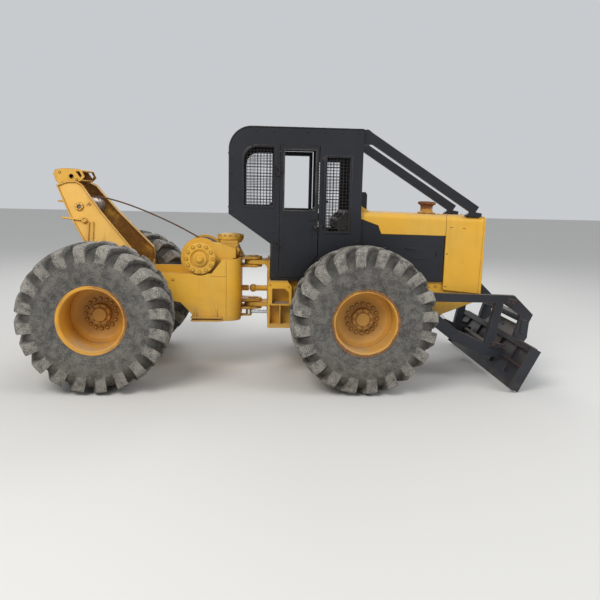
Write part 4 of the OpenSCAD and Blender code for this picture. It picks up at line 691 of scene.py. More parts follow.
def buildSeatBase(sizes):
    # Folded bellows: half width = middle + a sine of the height, on a rounded square, between two plates
    z = np.linspace(sizes["bellowsLow"], sizes["bellowsHigh"], 61)
    a = roundAngles(64)
    fold = sizes["bellowsHalf"] + sizes["foldDepth"] * np.sin(2 * np.pi * (z - z[0]) / sizes["fold"])
    square = (np.abs(np.cos(a)) ** 6 + np.abs(np.sin(a)) ** 6) ** (-1 / 6)
    ring = np.stack([np.cos(a) * square, np.sin(a) * square], 1)
    height = np.broadcast_to(z[:, None, None], (len(z), len(a), 1))
    points = np.concatenate([fold[:, None, None] * ring[None], height], -1)
    points = points + [frontX + sizes["bellowsX"], 0, 0]
    makePiece("seatBellows", [(points, cappedFaces(len(z), len(a)))], "darkPlastic", "front_frame", 60)


buildSeat(seatSizes)
buildSeatBase(seatSizes)
print("seat padded")

# Cable: six strands laid round the route, and the turns on the drum
cableSizes = {
    "strands": 6, "laid": 0.0056, "strand": 0.0036, "lay": 0.11, "step": 0.007,
    # Distance ahead of the rear axle, and height
    "route": [(1.010, 1.513), (0.960, 1.541), (0.860, 1.596), (0.700, 1.680), (0.500, 1.772),
              (0.300, 1.855), (0.100, 1.926), (-0.080, 1.976), (-0.220, 2.000), (-0.320, 2.006),
              (-0.380, 1.996), (-0.425, 1.982), (-0.460, 1.9753), (-0.490, 1.9753)],
    # Ferrule as (radius, distance), how far back on the route it starts, and the ring behind it
    "ferrule": [(0.010, 0), (0.019, 0.004), (0.0195, 0.05), (0.019, 0.088), (0.011, 0.094)],
    "ferruleX": 0.025, "ringRadius": 0.030, "ring": 0.0085, "ringX": -0.096,
    # Turns on the drum, and a second layer of fewer turns that is higher by layerUp
    "turns": 20, "wind": 0.1565, "wire": 0.009, "halfWidth": 0.204, "turnSteps": 44,
    "topTurns": 7, "layerUp": 0.0155,
}


def evenly(path, step=0.006):
    # The same line with points at even steps, and the length up to each
    path = np.asarray(path, float)
    length = np.concatenate([[0], np.cumsum(np.linalg.norm(np.diff(path, axis=0), axis=1))])
    even = np.linspace(0, length[-1], max(3, int(length[-1] / step)))
    return np.stack([np.interp(even, length, path[:, k]) for k in range(3)], 1), even


def smoothRoute(knots, step):
    # Knots joined by a curve that passes through each (Catmull-Rom), at even steps along its length
    knots = np.asarray(knots, float)
    ends = np.concatenate([[2 * knots[0] - knots[1]], knots, [2 * knots[-1] - knots[-2]]])
    t = np.linspace(0, 1, 40, endpoint=False)[:, None]
    pieces = []
    for k in range(len(knots) - 1):
        a, b, c, d = ends[k:k + 4]
        square, cube = 2 * a - 5 * b + 4 * c - d, 3 * b - a - 3 * c + d
        pieces.append(0.5 * (2 * b + (c - a) * t + square * t ** 2 + cube * t ** 3))
    return evenly(np.concatenate(pieces + [knots[-1:]]), step)


def buildCable(sizes):
    knots = np.array([(rearX + x, 0, z) for x, z in sizes["route"]])
    route, length = smoothRoute(knots, sizes["step"])
    along = np.gradient(route, axis=0)
    along /= np.linalg.norm(along, axis=1, keepdims=True)
    side = np.broadcast_to([0.0, 1.0, 0.0], route.shape)
    over = np.cross(side, along)
    shapes = [tube(route, sizes["strand"] * 1.05, 6)]
    for k in range(sizes["strands"]):
        a = 2 * np.pi * (length / sizes["lay"] + k / sizes["strands"])[:, None]
        strand = route + sizes["laid"] * (np.cos(a) * side + np.sin(a) * over)
        shapes.append(tube(strand, sizes["strand"], 6))
    shapes.append(turn(sizes["ferrule"], knots[-1] + [sizes["ferruleX"], 0, 0], (-1, 0, 0), 32))
    a = roundAngles(48)
    ring = np.stack([np.cos(a), np.sin(a), 0 * a], 1) * sizes["ringRadius"]
    shapes.append(tube(ring + knots[-1] + [sizes["ringX"], 0, 0], sizes["ring"], 12, True))
    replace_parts(makePiece("cableStrands", shapes, "cableSteel", "rear_frame", 50), "winch_cable")


def buildWinding(sizes):
    # Helix: y runs along the drum as the angle turns, a second short layer lies in the grooves of the first
    centre = np.array(jointAt["drum_turn"])
    pitch = 2 * sizes["halfWidth"] / sizes["turns"]
    shapes = []
    layers = ((sizes["turns"], sizes["wind"], -1), (sizes["topTurns"], sizes["wind"] + sizes["layerUp"], 1))
    for turns, radius, start in layers:
        a = np.linspace(0, 2 * np.pi * turns, turns * sizes["turnSteps"])
        y = start * (sizes["halfWidth"] - pitch / 2 - pitch * a / (2 * np.pi))
        helix = centre + np.stack([radius * np.cos(a), y, radius * np.sin(a)], 1)
        shapes.append(tube(helix, sizes["wire"], 8))
    makePiece("cableTurns", shapes, "cableSteel", "winch_drum", 50)


buildCable(cableSizes)
buildWinding(cableSizes)
print("cable laid")

# Winch bolts: covers at both ends of the drum with a plug in the middle, and the neck on top
winchSizes = {
    "x": 1.000, "z": 1.337, "coverFace": 0.4405, "coverBolts": 0.148, "count": 12, "coverBolt": 0.026,
    "plugFace": 0.4545, "plug": 0.062,
    "neck": 1.325, "neckTop": 1.5805, "neckBolts": 0.142, "neckCount": 14, "neckBolt": 0.022,
}


def buildWinchBolts(sizes):
    shapes = []
    for side in sides.values():
        axis = (0, side, 0)
        face = onSide(side, rearX, (sizes["x"], sizes["coverFace"], sizes["z"]))
        shapes.append(boltRing(face, axis, sizes["coverBolts"], sizes["count"], sizes["coverBolt"], 5))
        shapes.append(sideBolts(side, rearX, sizes["plugFace"], sizes["plug"], 6,
                                [(sizes["x"], sizes["z"])]))
    top = (rearX + sizes["neck"], 0, sizes["neckTop"])
    shapes.append(boltRing(top, (0, 0, 1), sizes["neckBolts"], sizes["neckCount"], sizes["neckBolt"], 7))
    makePiece("winchBolts", shapes, "yellowPaint", "rear_frame")


buildWinchBolts(winchSizes)
print("winch bolts set")


# Bolts, weld beads and fittings, each list on the body that carries it
def weld(path, radius=0.0045):
    # Bead with a ripple: radius = r (1 + 0.13 sin(2 pi s / 11 mm))
    line, length = evenly(path)
    return tube(line, radius * (1 + 0.13 * np.sin(2 * np.pi * length / 0.011)), 6)


def rod(path, radius, around=8):
    return tube(evenly(path, 0.03)[0], radius, around)


def bent(knots, radius, around=10):
    # Rod or pipe through the knots, its corners rounded by the curve
    return tube(smoothRoute(knots, 0.012)[0], radius, around)


def mitres(outline):
    # Inward direction at each corner of a closed outline, scaled so that both its edges move by one unit
    ahead = np.roll(outline, -1, 0) - outline
    ahead /= np.linalg.norm(ahead, axis=1, keepdims=True)
    inward = np.stack([-ahead[:, 1], ahead[:, 0]], 1)
    turned = np.cross(np.roll(ahead, 1, 0), ahead).sum()
    inward *= 1 if turned > 0 else -1
    before = np.roll(inward, 1, 0)
    return (inward + before) / (1 + (inward * before).sum(1, keepdims=True))


def outward(points, faces):
    # Turns the faces over if the shape's signed volume, the sum of a . (b x c) / 6, is negative
    volume = 0.0
    for f in faces:
        ring = points[np.asarray(f)]
        volume += (np.cross(ring[1:-1], ring[2:]) @ ring[0]).sum()
    return points, faces if volume > 0 else [list(f)[::-1] for f in faces]


def carried(outline, profile, place):
    # Profile of (inset, height) at each corner of an outline: corner + inset * mitre, height over the plane
    corner, profile = np.asarray(outline, float), np.asarray(profile, float)
    flat = corner[None] + profile[:, None, :1] * mitres(corner)[None]
    height = np.broadcast_to(profile[:, None, 1], flat.shape[:2])
    return place(flat[..., 0], flat[..., 1], height).reshape(-1, 3)


def band(outline, profile, place):
    # Closed profile carried round a closed outline
    points = carried(outline, profile, place)
    return outward(points, (gridFaces(len(profile) + 1, len(outline)) % len(points)).tolist())


def plate(outline, low, high, place, edge=0.0015):
    # Flat plate over an outline, its upper edge broken
    profile = [(0, low), (0, high - edge), (edge, high)]
    return outward(carried(outline, profile, place), cappedFaces(3, len(outline)))


def sideWall(side, face, originX):
    # Places (x, z, height) on a wall that faces left or right
    return lambda u, v, h: np.stack([originX + u, side * (face + h), v + 0 * u], -1)


def sideFittings(side, originX, sizes):
    # What a dictionary lists for both sides: "bolts" (face, width, seed, places), "beads" (radius, line) and
    # "turned" (place, outline)
    shapes = [sideBolts(side, originX, *row) for row in sizes.get("bolts", [])]
    shapes += [weld(onSide(side, originX, line), radius) for radius, line in sizes.get("beads", [])]
    return shapes + [sideTurn(side, originX, *part) for part in sizes.get("turned", [])]


cabSizes = {
    "face": 0.500, "rear": -1.455, "front": 0.024, "top": 2.800, "corner": 0.255,
    "bead": 0.008, "beadLow": 1.87,
    # Windows: rear edge, front edge, low, high, radius of the upper rear corner
    "windows": [(-1.290, -0.960, 1.940, 2.580, 0.150), (-0.376, -0.113, 1.670, 2.486, 0.012)],
    "doorWindow": (-0.845, -0.496, 1.900, 2.556, 0.012),
    # Strip round a window and rubber round the door's, as (inset, height)
    "strip": [(-0.024, -0.002), (-0.024, 0.003), (-0.021, 0.005), (0.001, 0.005), (0.004, 0.003),
              (0.004, -0.002)],
    "seal": [(-0.012, -0.002), (-0.012, 0.004), (-0.008, 0.007), (0.002, 0.007), (0.006, 0.004),
             (0.006, -0.002)],
    "stripWidth": 0.024, "stripTop": 0.005, "stripBolt": 0.013, "boltPitch": 0.13,
    # Rows of bolts on a side: from, to, how many
    "rowBolt": 0.019,
    "rows": [((-1.16, 2.752), (-0.02, 2.752), 7), ((-1.42, 1.89), (-1.03, 1.595), 4),
             ((-0.950, 1.16), (-0.950, 1.83), 5), ((-0.020, 1.16), (-0.020, 1.56), 4),
             ((-1.42, 1.98), (-1.42, 2.46), 4)],
    # Grab bar: (x, distance from the wall, height), and the turned foot at each end
    "bar": [(-0.405, 0, 2.46), (-0.405, 0.036, 2.44), (-0.405, 0.050, 2.38), (-0.405, 0.050, 1.80),
            (-0.405, 0.036, 1.74), (-0.405, 0, 1.72)],
    "barRadius": 0.010, "barFoot": [(0.024, 0), (0.024, 0.004), (0.020, 0.006), (0.004, 0.006)],
    # Door's bolts and its latch knob
    "door": {"bolts": [(0.500, 0.016, 12,
                        [(-0.62, 2.575), (-0.53, 2.575), (-0.53, 1.64), (-0.85, 1.30), (-0.85, 1.76)]),
                       (0.513, 0.011, 13, [(-0.878, 1.520), (-0.862, 1.520)]),
                       (0.513, 0.011, 13, [(-0.878, 2.330), (-0.862, 2.330)])],
             "turned": [((-0.492, 0.510, 1.71),
                         [(0.016, -0.012), (0.016, 0.010), (0.024, 0.016), (0.026, 0.026), (0.020, 0.034),
                          (0.004, 0.036)], 24)]},
    # Bolts across the end walls: x, half width, how many, two heights, direction, seed; and along the roof
    "endRows": [(-1.455, 0.41, 6, (1.925, 2.510), -1, 14), (0.024, 0.42, 8, (2.655, 1.955), 1, 15)],
    "endBolt": 0.017, "roofRow": (-1.15, -0.02, 6), "roofYs": (-0.43, 0.43), "roofZ": 2.795,
}


def windowOutline(window, steps=10):
    # Rectangle whose upper rear corner is an arc of the fifth number
    rear, front, low, high, corner = window
    a = np.linspace(np.pi / 2, np.pi, steps)
    arc = np.stack([rear + corner + corner * np.cos(a), high - corner + corner * np.sin(a)], 1)
    return np.concatenate([[(rear, low), (front, low), (front, high)], arc])


def stripBolts(window, out, pitch):
    # Places round a window, out from its edge
    rear, front, low, high, corner = window
    across = np.linspace(rear + corner * 0.6, front, max(3, round((front - rear) / pitch) + 1))
    up = np.linspace(low, high - corner * 0.6, max(3, round((high - low) / pitch) + 1))[1:-1]
    full = np.linspace(rear, front, len(across))
    return np.concatenate([np.stack([across, 0 * across + high + out], 1),
                           np.stack([full, 0 * full + low - out], 1), np.stack([0 * up + rear - out, up], 1),
                           np.stack([0 * up + front + out, up], 1)])


def buildCabTrim(sizes):
    # Strips round the windows, rolled edge along the roof, rows of bolts and a grab bar on each side
    face, radius = sizes["face"], sizes["corner"] - sizes["bead"]
    a = np.linspace(np.pi, np.pi / 2, 16)
    middle = np.array([sizes["rear"] + sizes["corner"], sizes["top"] - sizes["corner"]])
    bend = middle + radius * np.stack([np.cos(a), np.sin(a)], 1)
    edge = np.concatenate([[(sizes["rear"] + sizes["bead"], sizes["beadLow"])], bend,
                           [(sizes["front"] - sizes["bead"] / 2, sizes["top"] - sizes["bead"])]])
    inset, pitch = sizes["stripWidth"] / 2, sizes["boltPitch"]
    heads = np.concatenate([stripBolts(window, inset, pitch) for window in sizes["windows"]])
    rows = np.concatenate([np.linspace(start, end, count) for start, end, count in sizes["rows"]])
    for sideName, side in sides.items():
        wall = sideWall(side, face, frontX)
        shapes = [band(windowOutline(window), sizes["strip"], wall) for window in sizes["windows"]]
        shapes += [
            rod(onSide(side, frontX, [(x, face, z) for x, z in edge]), sizes["bead"], 10),
            sideBolts(side, frontX, face + sizes["stripTop"], sizes["stripBolt"], 11, heads),
            sideBolts(side, frontX, face, sizes["rowBolt"], 11, rows),
            bent(onSide(side, frontX, [(x, face + out, z) for x, out, z in sizes["bar"]]),
                 sizes["barRadius"]),
        ]
        for x, out, z in (sizes["bar"][0], sizes["bar"][-1]):
            shapes.append(sideTurn(side, frontX, (x, face + out, z), sizes["barFoot"], 24))
        makePiece(f"cabTrim_{sideName}", shapes, "blackPaint", "front_frame")
        # Door: rubber round its window, strap bolts and latch knob
        seal = band(windowOutline(sizes["doorWindow"]), sizes["seal"], wall)
        makePiece(f"doorSeal_{sideName}", [seal], "darkPlastic", f"door_{sideName}")
        fittings = sideFittings(side, frontX, sizes["door"])
        makePiece(f"doorFittings_{sideName}", fittings, "blackPaint", f"door_{sideName}")
    ends = []
    for x, half, count, heights, way, seed in sizes["endRows"]:
        places = [(frontX + x, y, z) for y in np.linspace(-half, half, count) for z in heights]
        ends.append(bolts(places, (way, 0, 0), sizes["endBolt"], seed))
    makePiece("cabWallBolts", ends, "blackPaint", "front_frame")
    roof = [(frontX + x, y, sizes["roofZ"]) for y in sizes["roofYs"] for x in np.linspace(*sizes["roofRow"])]
    makePiece("roofBolts", [bolts(roof, (0, 0, 1), sizes["endBolt"], 16)], "blackPaint", "front_frame")


hoodSizes = {
    "half": 0.450, "top": 1.900, "fall": 1.35,
    # Painted shade of the nose's slots, as thin dark patches on the side panel: x, height, length, width
    "slotShades": [(1.075, 1.742, 0.034, 0.008), (1.225, 1.735, 0.034, 0.008), (1.040, 1.440, 0.016, 0.016),
              (1.045, 1.060, 0.034, 0.008)],
    # Bead where the cowl meets the hood: from, to, distance from the middle, least height
    "cowl": (0.030, 0.148), "cowlY": 0.380, "cowlLow": 1.898,
    # Screws across the top: x, height over the top, seed
    "topRows": [(1.438, 0.004, 24), (1.045, 0.0, 25)], "topRow": (-0.36, 0.36, 5), "topScrew": 0.017,
    "screw": 0.014,
    "panelScrews": [(0.06, 1.16), (0.28, 1.16), (0.50, 1.16), (0.72, 1.16), (0.94, 1.16), (0.975, 1.30),
                    (0.975, 1.52), (0.06, 1.40), (0.06, 1.62), (0.06, 1.77), (0.29, 1.61), (0.52, 1.61),
                    (0.75, 1.61)],
    # Pulls of the side panels: where each starts, and (x, distance from the panel)
    "pulls": (0.20, 0.56), "pullZ": 1.500, "pullRadius": 0.006,
    "pull": [(0, -0.002), (0.008, 0.024), (0.060, 0.030), (0.112, 0.024), (0.120, -0.002)],
}


def hoodTop(x, sizes):
    # Height of the hood's top, which falls by its angle towards the nose: (top - x sin) / cos
    fall = math.radians(sizes["fall"])
    return (sizes["top"] - x * math.sin(fall)) / math.cos(fall)


def buildHoodTrim(sizes):
    # Cowl's beads, screws across the hood, dark patches that paint the shade of the slots in the nose, and
    # the side panels' screws and pulls
    top, dark, panel = [], [], []
    a = roundAngles(20)
    for side in sides.values():
        for x, z, long, wide in sizes["slotShades"]:
            # Each slot is a thin dark plate flush with the panel, painted shade where an opening would be
            bulge = np.sign(np.cos(a)) * np.abs(np.cos(a)) ** 0.6
            slot = np.stack([x + long / 2 * bulge, z + wide / 2 * np.sin(a)], 1)
            dark.append(plate(slot, -0.002, 0.0008, sideWall(side, sizes["half"], frontX), 0.0004))
        cowl = [(x, sizes["cowlY"], max(hoodTop(x, sizes) + 0.001, sizes["cowlLow"])) for x in sizes["cowl"]]
        top.append(weld(onSide(side, frontX, cowl)))
        panel.append(sideBolts(side, frontX, sizes["half"], sizes["screw"], 26, sizes["panelScrews"]))
        for start in sizes["pulls"]:
            pull = [(start + x, sizes["half"] + out, sizes["pullZ"]) for x, out in sizes["pull"]]
            panel.append(bent(onSide(side, frontX, pull), sizes["pullRadius"]))
    for x, over, seed in sizes["topRows"]:
        row = [(frontX + x, y, hoodTop(x, sizes) + over) for y in np.linspace(*sizes["topRow"])]
        top.append(bolts(row, (0, 0, 1), sizes["topScrew"], seed))
    makePiece("hoodFittings", top, "yellowPaint", "front_frame")
    # Dark patches that paint the shade of the nose's slots
    makePiece("noseSlotShade", dark, "darkPlastic", "front_frame")
    makePiece("panelFittings", panel, "blackPaint", "front_frame")


archSizes = {
    "footY": 0.610, "footZ": 1.150, "splay": 16.7, "thick": 0.022, "flange": 0.014,
    "outline": [(0.340, 1.150), (0.338, 1.300), (0.330, 1.385), (-0.088, 1.853), (-0.262, 2.078),
                (-0.300, 2.130), (-0.370, 2.166), (-0.470, 2.160), (-0.580, 2.118), (-0.420, 1.790),
                (-0.235, 1.485), (-0.200, 1.240), (-0.200, 1.150)],
    # Ring of small bolts at the cross roller's boss
    "bossX": -0.320, "bossZ": 1.890, "bossRing": 0.0365, "bossOut": 0.0215, "bossBolt": 0.010,
    # Bar with a turned end on a leg, and the ribs below it
    "bar": [(-0.500, 1.757), (-0.265, 1.734), (-0.265, 1.752), (-0.500, 1.775)],
    "barOut": 0.024, "barEnd": (-0.255, 1.742),
    "barCap": [(0.032, -0.002), (0.032, 0.030), (0.028, 0.034), (0.016, 0.034), (0.014, 0.026),
               (0.002, 0.026)],
    "ribs": (-0.215, -0.165), "ribWide": 0.014, "ribLow": 1.500, "ribHigh": 1.725, "ribOut": 0.026,
    # Bolts on both sides: face, width, seed, places
    "bolts": [(0.6045, 0.026, 33, [(-0.13, 1.045), (-0.02, 1.045), (0.15, 1.045), (0.25, 1.045)]),
              (0.6045, 0.026, 34, [(-0.13, 1.120), (-0.02, 1.120), (0.15, 1.120), (0.25, 1.120)]),
              (0.258, 0.019, 35, [(-0.530, 2.145), (-0.470, 2.145), (-0.560, 2.262), (-0.375, 2.185)])],
    # Beads along the deck's edge and at the foot of the fairlead's cheeks, and a bush in each cheek
    "beads": [(0.0045, [(-0.195, 0.441, 1.0255), (0.333, 0.441, 1.0255)]),
              (0.0045, [(-0.195, 0.441, 0.9985), (0.333, 0.441, 0.9985)]),
              (0.0045, [(-0.548, 0.2595, 2.1165), (-0.444, 0.2595, 2.1165)])],
    "turned": [((-0.434, 0.258, 2.222),
                [(0.030, -0.001), (0.030, 0.004), (0.0265, 0.007), (0.0225, 0.007), (0.022, -0.001)])],
    # Bolts on the upright rollers' plates
    "plateX": -0.500, "plateBolts": (0.04, 0.20), "plateTops": (2.1155, 1.9555), "plateBolt": 0.018,
}


def leanPlace(side, sizes):
    # Places (x, height up the leg, distance from its outer face) on a leg that leans in by the splay
    s = math.radians(sizes["splay"])

    def place(u, v, h):
        up = (v - sizes["footZ"]) / math.cos(s)
        y = sizes["footY"] + h * math.cos(s) - up * math.sin(s)
        return np.stack([rearX + u, side * y, sizes["footZ"] + h * math.sin(s) + up * math.cos(s)], -1)
    return place


def buildArchDetail(sizes):
    # Beads inside the flanges on both faces of each leg, the leg's fittings and the foot's bolts
    shapes = []
    outline = np.array(sizes["outline"])
    inner = (outline + mitres(outline) * (sizes["flange"] + 0.001))[1:-1]
    s = math.radians(sizes["splay"])
    a = np.arange(6) * np.pi / 3 + 0.3
    for side in sides.values():
        place = leanPlace(side, sizes)
        normal = (0, side * math.cos(s), math.sin(s))
        for h in (0.001, -sizes["thick"] - 0.001):
            shapes.append(weld(place(inner[:, 0], inner[:, 1], np.full(len(inner), h))))
        ring = place(sizes["bossX"] + sizes["bossRing"] * np.cos(a),
                     sizes["bossZ"] + sizes["bossRing"] * np.sin(a) * math.cos(s),
                     np.full(6, sizes["bossOut"]))
        shapes.append(bolts(ring, normal, sizes["bossBolt"], 31))
        shapes.append(plate(sizes["bar"], 0.0, sizes["barOut"], place))
        for x in sizes["ribs"]:
            ends = (x, x + sizes["ribWide"])
            rib = [(u, sizes["ribLow"]) for u in ends] + [(u, sizes["ribHigh"]) for u in ends[::-1]]
            shapes.append(plate(rib, 0.0, sizes["ribOut"], place))
        shapes.append(turn(sizes["barCap"], place(*sizes["barEnd"], 0.0), normal, 32))
        shapes += sideFittings(side, rearX, sizes)
    dx, dy = sizes["plateBolts"]
    for z in sizes["plateTops"]:
        corners = [(rearX + sizes["plateX"] + x, y, z) for x in (-dx, dx) for y in (-dy, dy)]
        shapes.append(bolts(corners, (0, 0, 1), sizes["plateBolt"], 36))
    makePiece("archFittings", shapes, "archPaint", "rear_frame")


bladeSizes = {
    # The blade's lean, the foot of its front, its height and the radius of the front's arc
    "lean": 26.5, "foot": (1.668, 0, 0.024), "high": 0.512, "arc": 1.0,
    # Bolts of the cutting edge: from, to, how many; and the worn upper edge
    "edgeRow": (-1.02, 1.02, 13), "edgeUp": 0.065, "edgeBolt": 0.030,
    "topY": 1.116, "topUp": 0.5095, "topX": -0.010, "topRadius": 0.007,
    # Beads at the ribs behind the blade, and along each end of its front
    "ribYs": (0.360, 0.376, 0.800, 0.816), "ribX": -0.0415, "ribUp": (0.135, 0.245), "endY": 1.104,
    "endUp": (0.02, 0.14, 0.256, 0.38, 0.50),
    # Cap of an arm's pivot and its ring of bolts
    "pivot": (0.730, 0.618, 0.950), "capFace": 0.0115, "capRing": 0.055, "capBolt": 0.011,
    "cap": [(0.066, -0.002), (0.066, 0.008), (0.062, 0.012), (0.046, 0.012), (0.044, 0.004),
            (0.0385, 0.004)],
    # Doubler plates where the arms meet the strut and the nose, and their bolts
    "armFace": 0.618, "doublerOut": 0.010,
    "doublers": [[(1.560, 0.385), (1.700, 0.362), (1.722, 0.420), (1.580, 0.448)],
                 [(1.700, 0.895), (1.800, 0.860), (1.835, 0.935), (1.735, 0.955)],
                 [(1.900, 0.560), (1.955, 0.540), (1.972, 0.700), (1.915, 0.715)]],
    "bolts": [(0.628, 0.022, 43, [(1.60, 0.412), (1.68, 0.398), (1.735, 0.915), (1.80, 0.900)])],
}


def buildBladeDetail(sizes):
    # Cutting-edge bolts, beads along the ribs, caps at the arms' pivots and doubler plates
    lean = math.radians(sizes["lean"])
    base = onSide(1, frontX, sizes["foot"])
    ahead, up = np.array([math.cos(lean), 0, -math.sin(lean)]), np.array([math.sin(lean), 0, math.cos(lean)])

    def spot(x, y, z):
        return base + x * ahead + z * up + np.array([0, y, 0])

    def front(z):
        # The front's arc, through both edges of the blade
        arc, middle = sizes["arc"], sizes["high"] / 2
        return math.sqrt(arc ** 2 - middle ** 2) - math.sqrt(arc ** 2 - (z - middle) ** 2)
    edge = [spot(front(sizes["edgeUp"]) - 0.0005, y,
                 sizes["edgeUp"]) for y in np.linspace(*sizes["edgeRow"])]
    makePiece("bladeEdgeBolts", [
        bolts(edge, ahead, sizes["edgeBolt"], 41),
        rod([spot(sizes["topX"], y, sizes["topUp"]) for y in (-sizes["topY"], sizes["topY"])],
            sizes["topRadius"]),
    ], "wornSteel", "blade")
    shapes = []
    for side in sides.values():
        shapes += [weld([spot(sizes["ribX"], side * y, z) for z in sizes["ribUp"]],
                        0.004) for y in sizes["ribYs"]]
        shapes.append(weld([spot(front(z) + 0.003, side * sizes["endY"], z) for z in sizes["endUp"]], 0.006))
        shapes.append(sideTurn(side, frontX, sizes["pivot"], sizes["cap"], 40))
        x, y, z = sizes["pivot"]
        cap = onSide(side, frontX, (x, y + sizes["capFace"], z))
        shapes.append(boltRing(cap, (0, side, 0), sizes["capRing"], 6, sizes["capBolt"], 42))
        wall = sideWall(side, sizes["armFace"], frontX)
        for outline in sizes["doublers"]:
            shapes.append(plate(outline, -0.001, sizes["doublerOut"], wall))
            loop = [(x, sizes["armFace"] + 0.0005, z) for x, z in outline + outline[:1]]
            shapes.append(weld(onSide(side, frontX, loop), 0.004))
        shapes += sideFittings(side, frontX, sizes)
    makePiece("bladeFittings", shapes, "bladePaint", "blade")


frameSizes = {
    # Fittings of each half: bolts, beads and the plug of the winch's cover
    "front": {"bolts": [(0.420, 0.022, 51,
                         [(0.42, 1.06), (0.50, 1.06), (0.58, 1.06), (0.86, 1.06), (0.94, 1.06),
                          (1.10, 1.04), (1.22, 1.04), (1.34, 1.04), (1.42, 1.04)]),
                        (0.420, 0.022, 52, [(-0.60, 0.66), (-0.52, 0.66), (-0.30, 0.66), (-0.22, 0.66)]),
                        (0.620, 0.015, 53,
                         [(-0.985, 1.078), (-0.775, 1.060), (-0.985, 0.852), (-0.775, 0.852)])],
              "beads": [(0.005, [(1.4585, 0.0595, 0.911), (1.4585, 0.0595, 0.949)])]},
    "rear": {"bolts": [(0.440, 0.022, 54,
                        [(0.50, 1.10), (0.60, 1.10), (0.70, 1.10), (0.40, 1.06), (-0.30, 1.06),
                         (-0.36, 1.06)])],
             "beads": [(0.0035, [(1.298, 0.4405, 0.640), (1.298, 0.4405, 1.325)]),
                       (0.0035, [(1.120, 0.4405, 1.141), (1.298, 0.4405, 1.141)])],
             "turned": [((1.000, 0.4555, 1.337),
                         [(0.050, -0.001), (0.050, 0.003), (0.046, 0.006), (0.036, 0.006)])]},
    # Step treads: bars along the step, and thinner ones across it
    "alongX": (-0.957, -0.778), "alongY": (0.492, 0.6045, 6), "alongZ": 0.868, "alongRadius": 0.0045,
    "crossX": (-0.95, -0.785, 5), "crossY": (0.486, 0.611), "crossZ": 0.866, "crossRadius": 0.0030,
}


def buildFrameDetail(sizes):
    # Front half: side bolts, step treads, beads on the tow lug. Rear half: bolts, beads and plugs
    front, treads, rear = [], [], []
    for side in sides.values():
        front += sideFittings(side, frontX, sizes["front"])
        rear += sideFittings(side, rearX, sizes["rear"])
        for y in np.linspace(*sizes["alongY"]):
            line = [(x, y, sizes["alongZ"]) for x in sizes["alongX"]]
            treads.append(rod(onSide(side, frontX, line), sizes["alongRadius"]))
        for x in np.linspace(*sizes["crossX"]):
            line = [(x, y, sizes["crossZ"]) for y in sizes["crossY"]]
            treads.append(rod(onSide(side, frontX, line), sizes["crossRadius"], 6))
    makePiece("frameBolts", front, "yellowPaint", "front_frame")
    makePiece("stepTreads", treads, "wornSteel", "front_frame")
    makePiece("rearBolts", rear, "yellowPaint", "rear_frame")


dashSizes = {
    # Gauges on the sloping face: (distance from the middle, radius)
    "slope": (-0.691, 0, 0.723), "face": (-0.1775, 0, 1.845),
    "gauges": [(-0.300, 0.030), (-0.210, 0.036), (-0.115, 0.042), (0.115, 0.042), (0.210, 0.036),
               (0.300, 0.030)],
    # Levers: (distance from the middle, how far back the head leans), the foot's place and the head's
    "levers": [(-0.340, 0.02), (-0.375, 0.05), (0.340, 0.03), (0.375, 0.00)], "leverFoot": (-0.380, 1.139),
    "leverHead": (-0.400, 1.640), "leverStep": 0.02, "leverRadius": 0.007,
    "knob": [(0.004, -0.020), (0.016, -0.014), (0.021, 0.002), (0.017, 0.018), (0.003, 0.024)],
    "boot": [(0.030, -0.001), (0.030, 0.006), (0.020, 0.026), (0.013, 0.040), (0.008, 0.040)],
    # Pedals: places across, x and height, their face's directions up and out, half width and half length
    "pedals": (-0.20, 0.16, 0.27), "pedalX": -0.230, "pedalZ": 1.245, "pedalUp": (0.60, 0, 0.80),
    "pedalOut": (-0.80, 0, 0.60), "pedalHalf": (0.035, 0.050), "ribHalf": (0.030, 0.004),
    "pedalRibs": (-0.03, -0.01, 0.01, 0.03), "stemRadius": 0.008,
}


def buildDashDetail(sizes):
    # Gauges on the sloping face, levers with knobs beside the seat, and three pedals
    slope, face = np.array(sizes["slope"]), onSide(1, frontX, sizes["face"])
    dials, dark = [], []
    for y, r in sizes["gauges"]:
        at = face + np.array([0, y, 0])
        bezel = [(r, -0.002), (r, 0.007), (r - 0.004, 0.010), (r - 0.008, 0.006), (r - 0.008, 0.002)]
        dark.append(turn(bezel, at, slope, 32))
        dials.append(turn([(r - 0.009, -0.001), (r - 0.009, 0.0035), (0.002, 0.0035)], at, slope, 32))
    for k, (y, lean) in enumerate(sizes["levers"]):
        (footX, footZ), (headX, headZ) = sizes["leverFoot"], sizes["leverHead"]
        foot = np.array([frontX + footX, y, footZ])
        head = np.array([frontX + headX - lean, y, headZ + sizes["leverStep"] * (k % 2)])
        stem = [foot, foot + [0.004, 0, 0.16], (foot + head) / 2 + [0.006, 0, 0.03], head]
        dark += [bent(stem, sizes["leverRadius"]), turn(sizes["knob"], head, (0, 0, 1), 24),
                 turn(sizes["boot"], foot, (0, 0, 1), 24)]

    def block(half, middle, low, high, place):
        # Rectangular plate of two half sizes, up the pedal by middle
        x, y = half
        corners = [(-x, middle - y), (x, middle - y), (x, middle + y), (-x, middle + y)]
        return plate(corners, low, high, place)
    up, out = np.array(sizes["pedalUp"]), np.array(sizes["pedalOut"])
    for y in sizes["pedals"]:
        at = np.array([frontX + sizes["pedalX"], y, sizes["pedalZ"]])

        def pedal(u, v, h, at=at):
            return at + u[..., None] * np.array([0, 1.0, 0]) + v[..., None] * up + h[..., None] * out
        dark.append(block(sizes["pedalHalf"], 0.0, -0.004, 0.004, pedal))
        dark += [block(sizes["ribHalf"], v, 0.003, 0.007, pedal) for v in sizes["pedalRibs"]]
        dark.append(bent([at - 0.002 * out, at + [0.040, 0, 0.020], at + [0.068, 0, 0.060]],
                         sizes["stemRadius"], 8))
    makePiece("cabControls", dark, "darkPlastic", "front_frame")
    makePiece("dialFaces", dials, "dialFace", "front_frame")


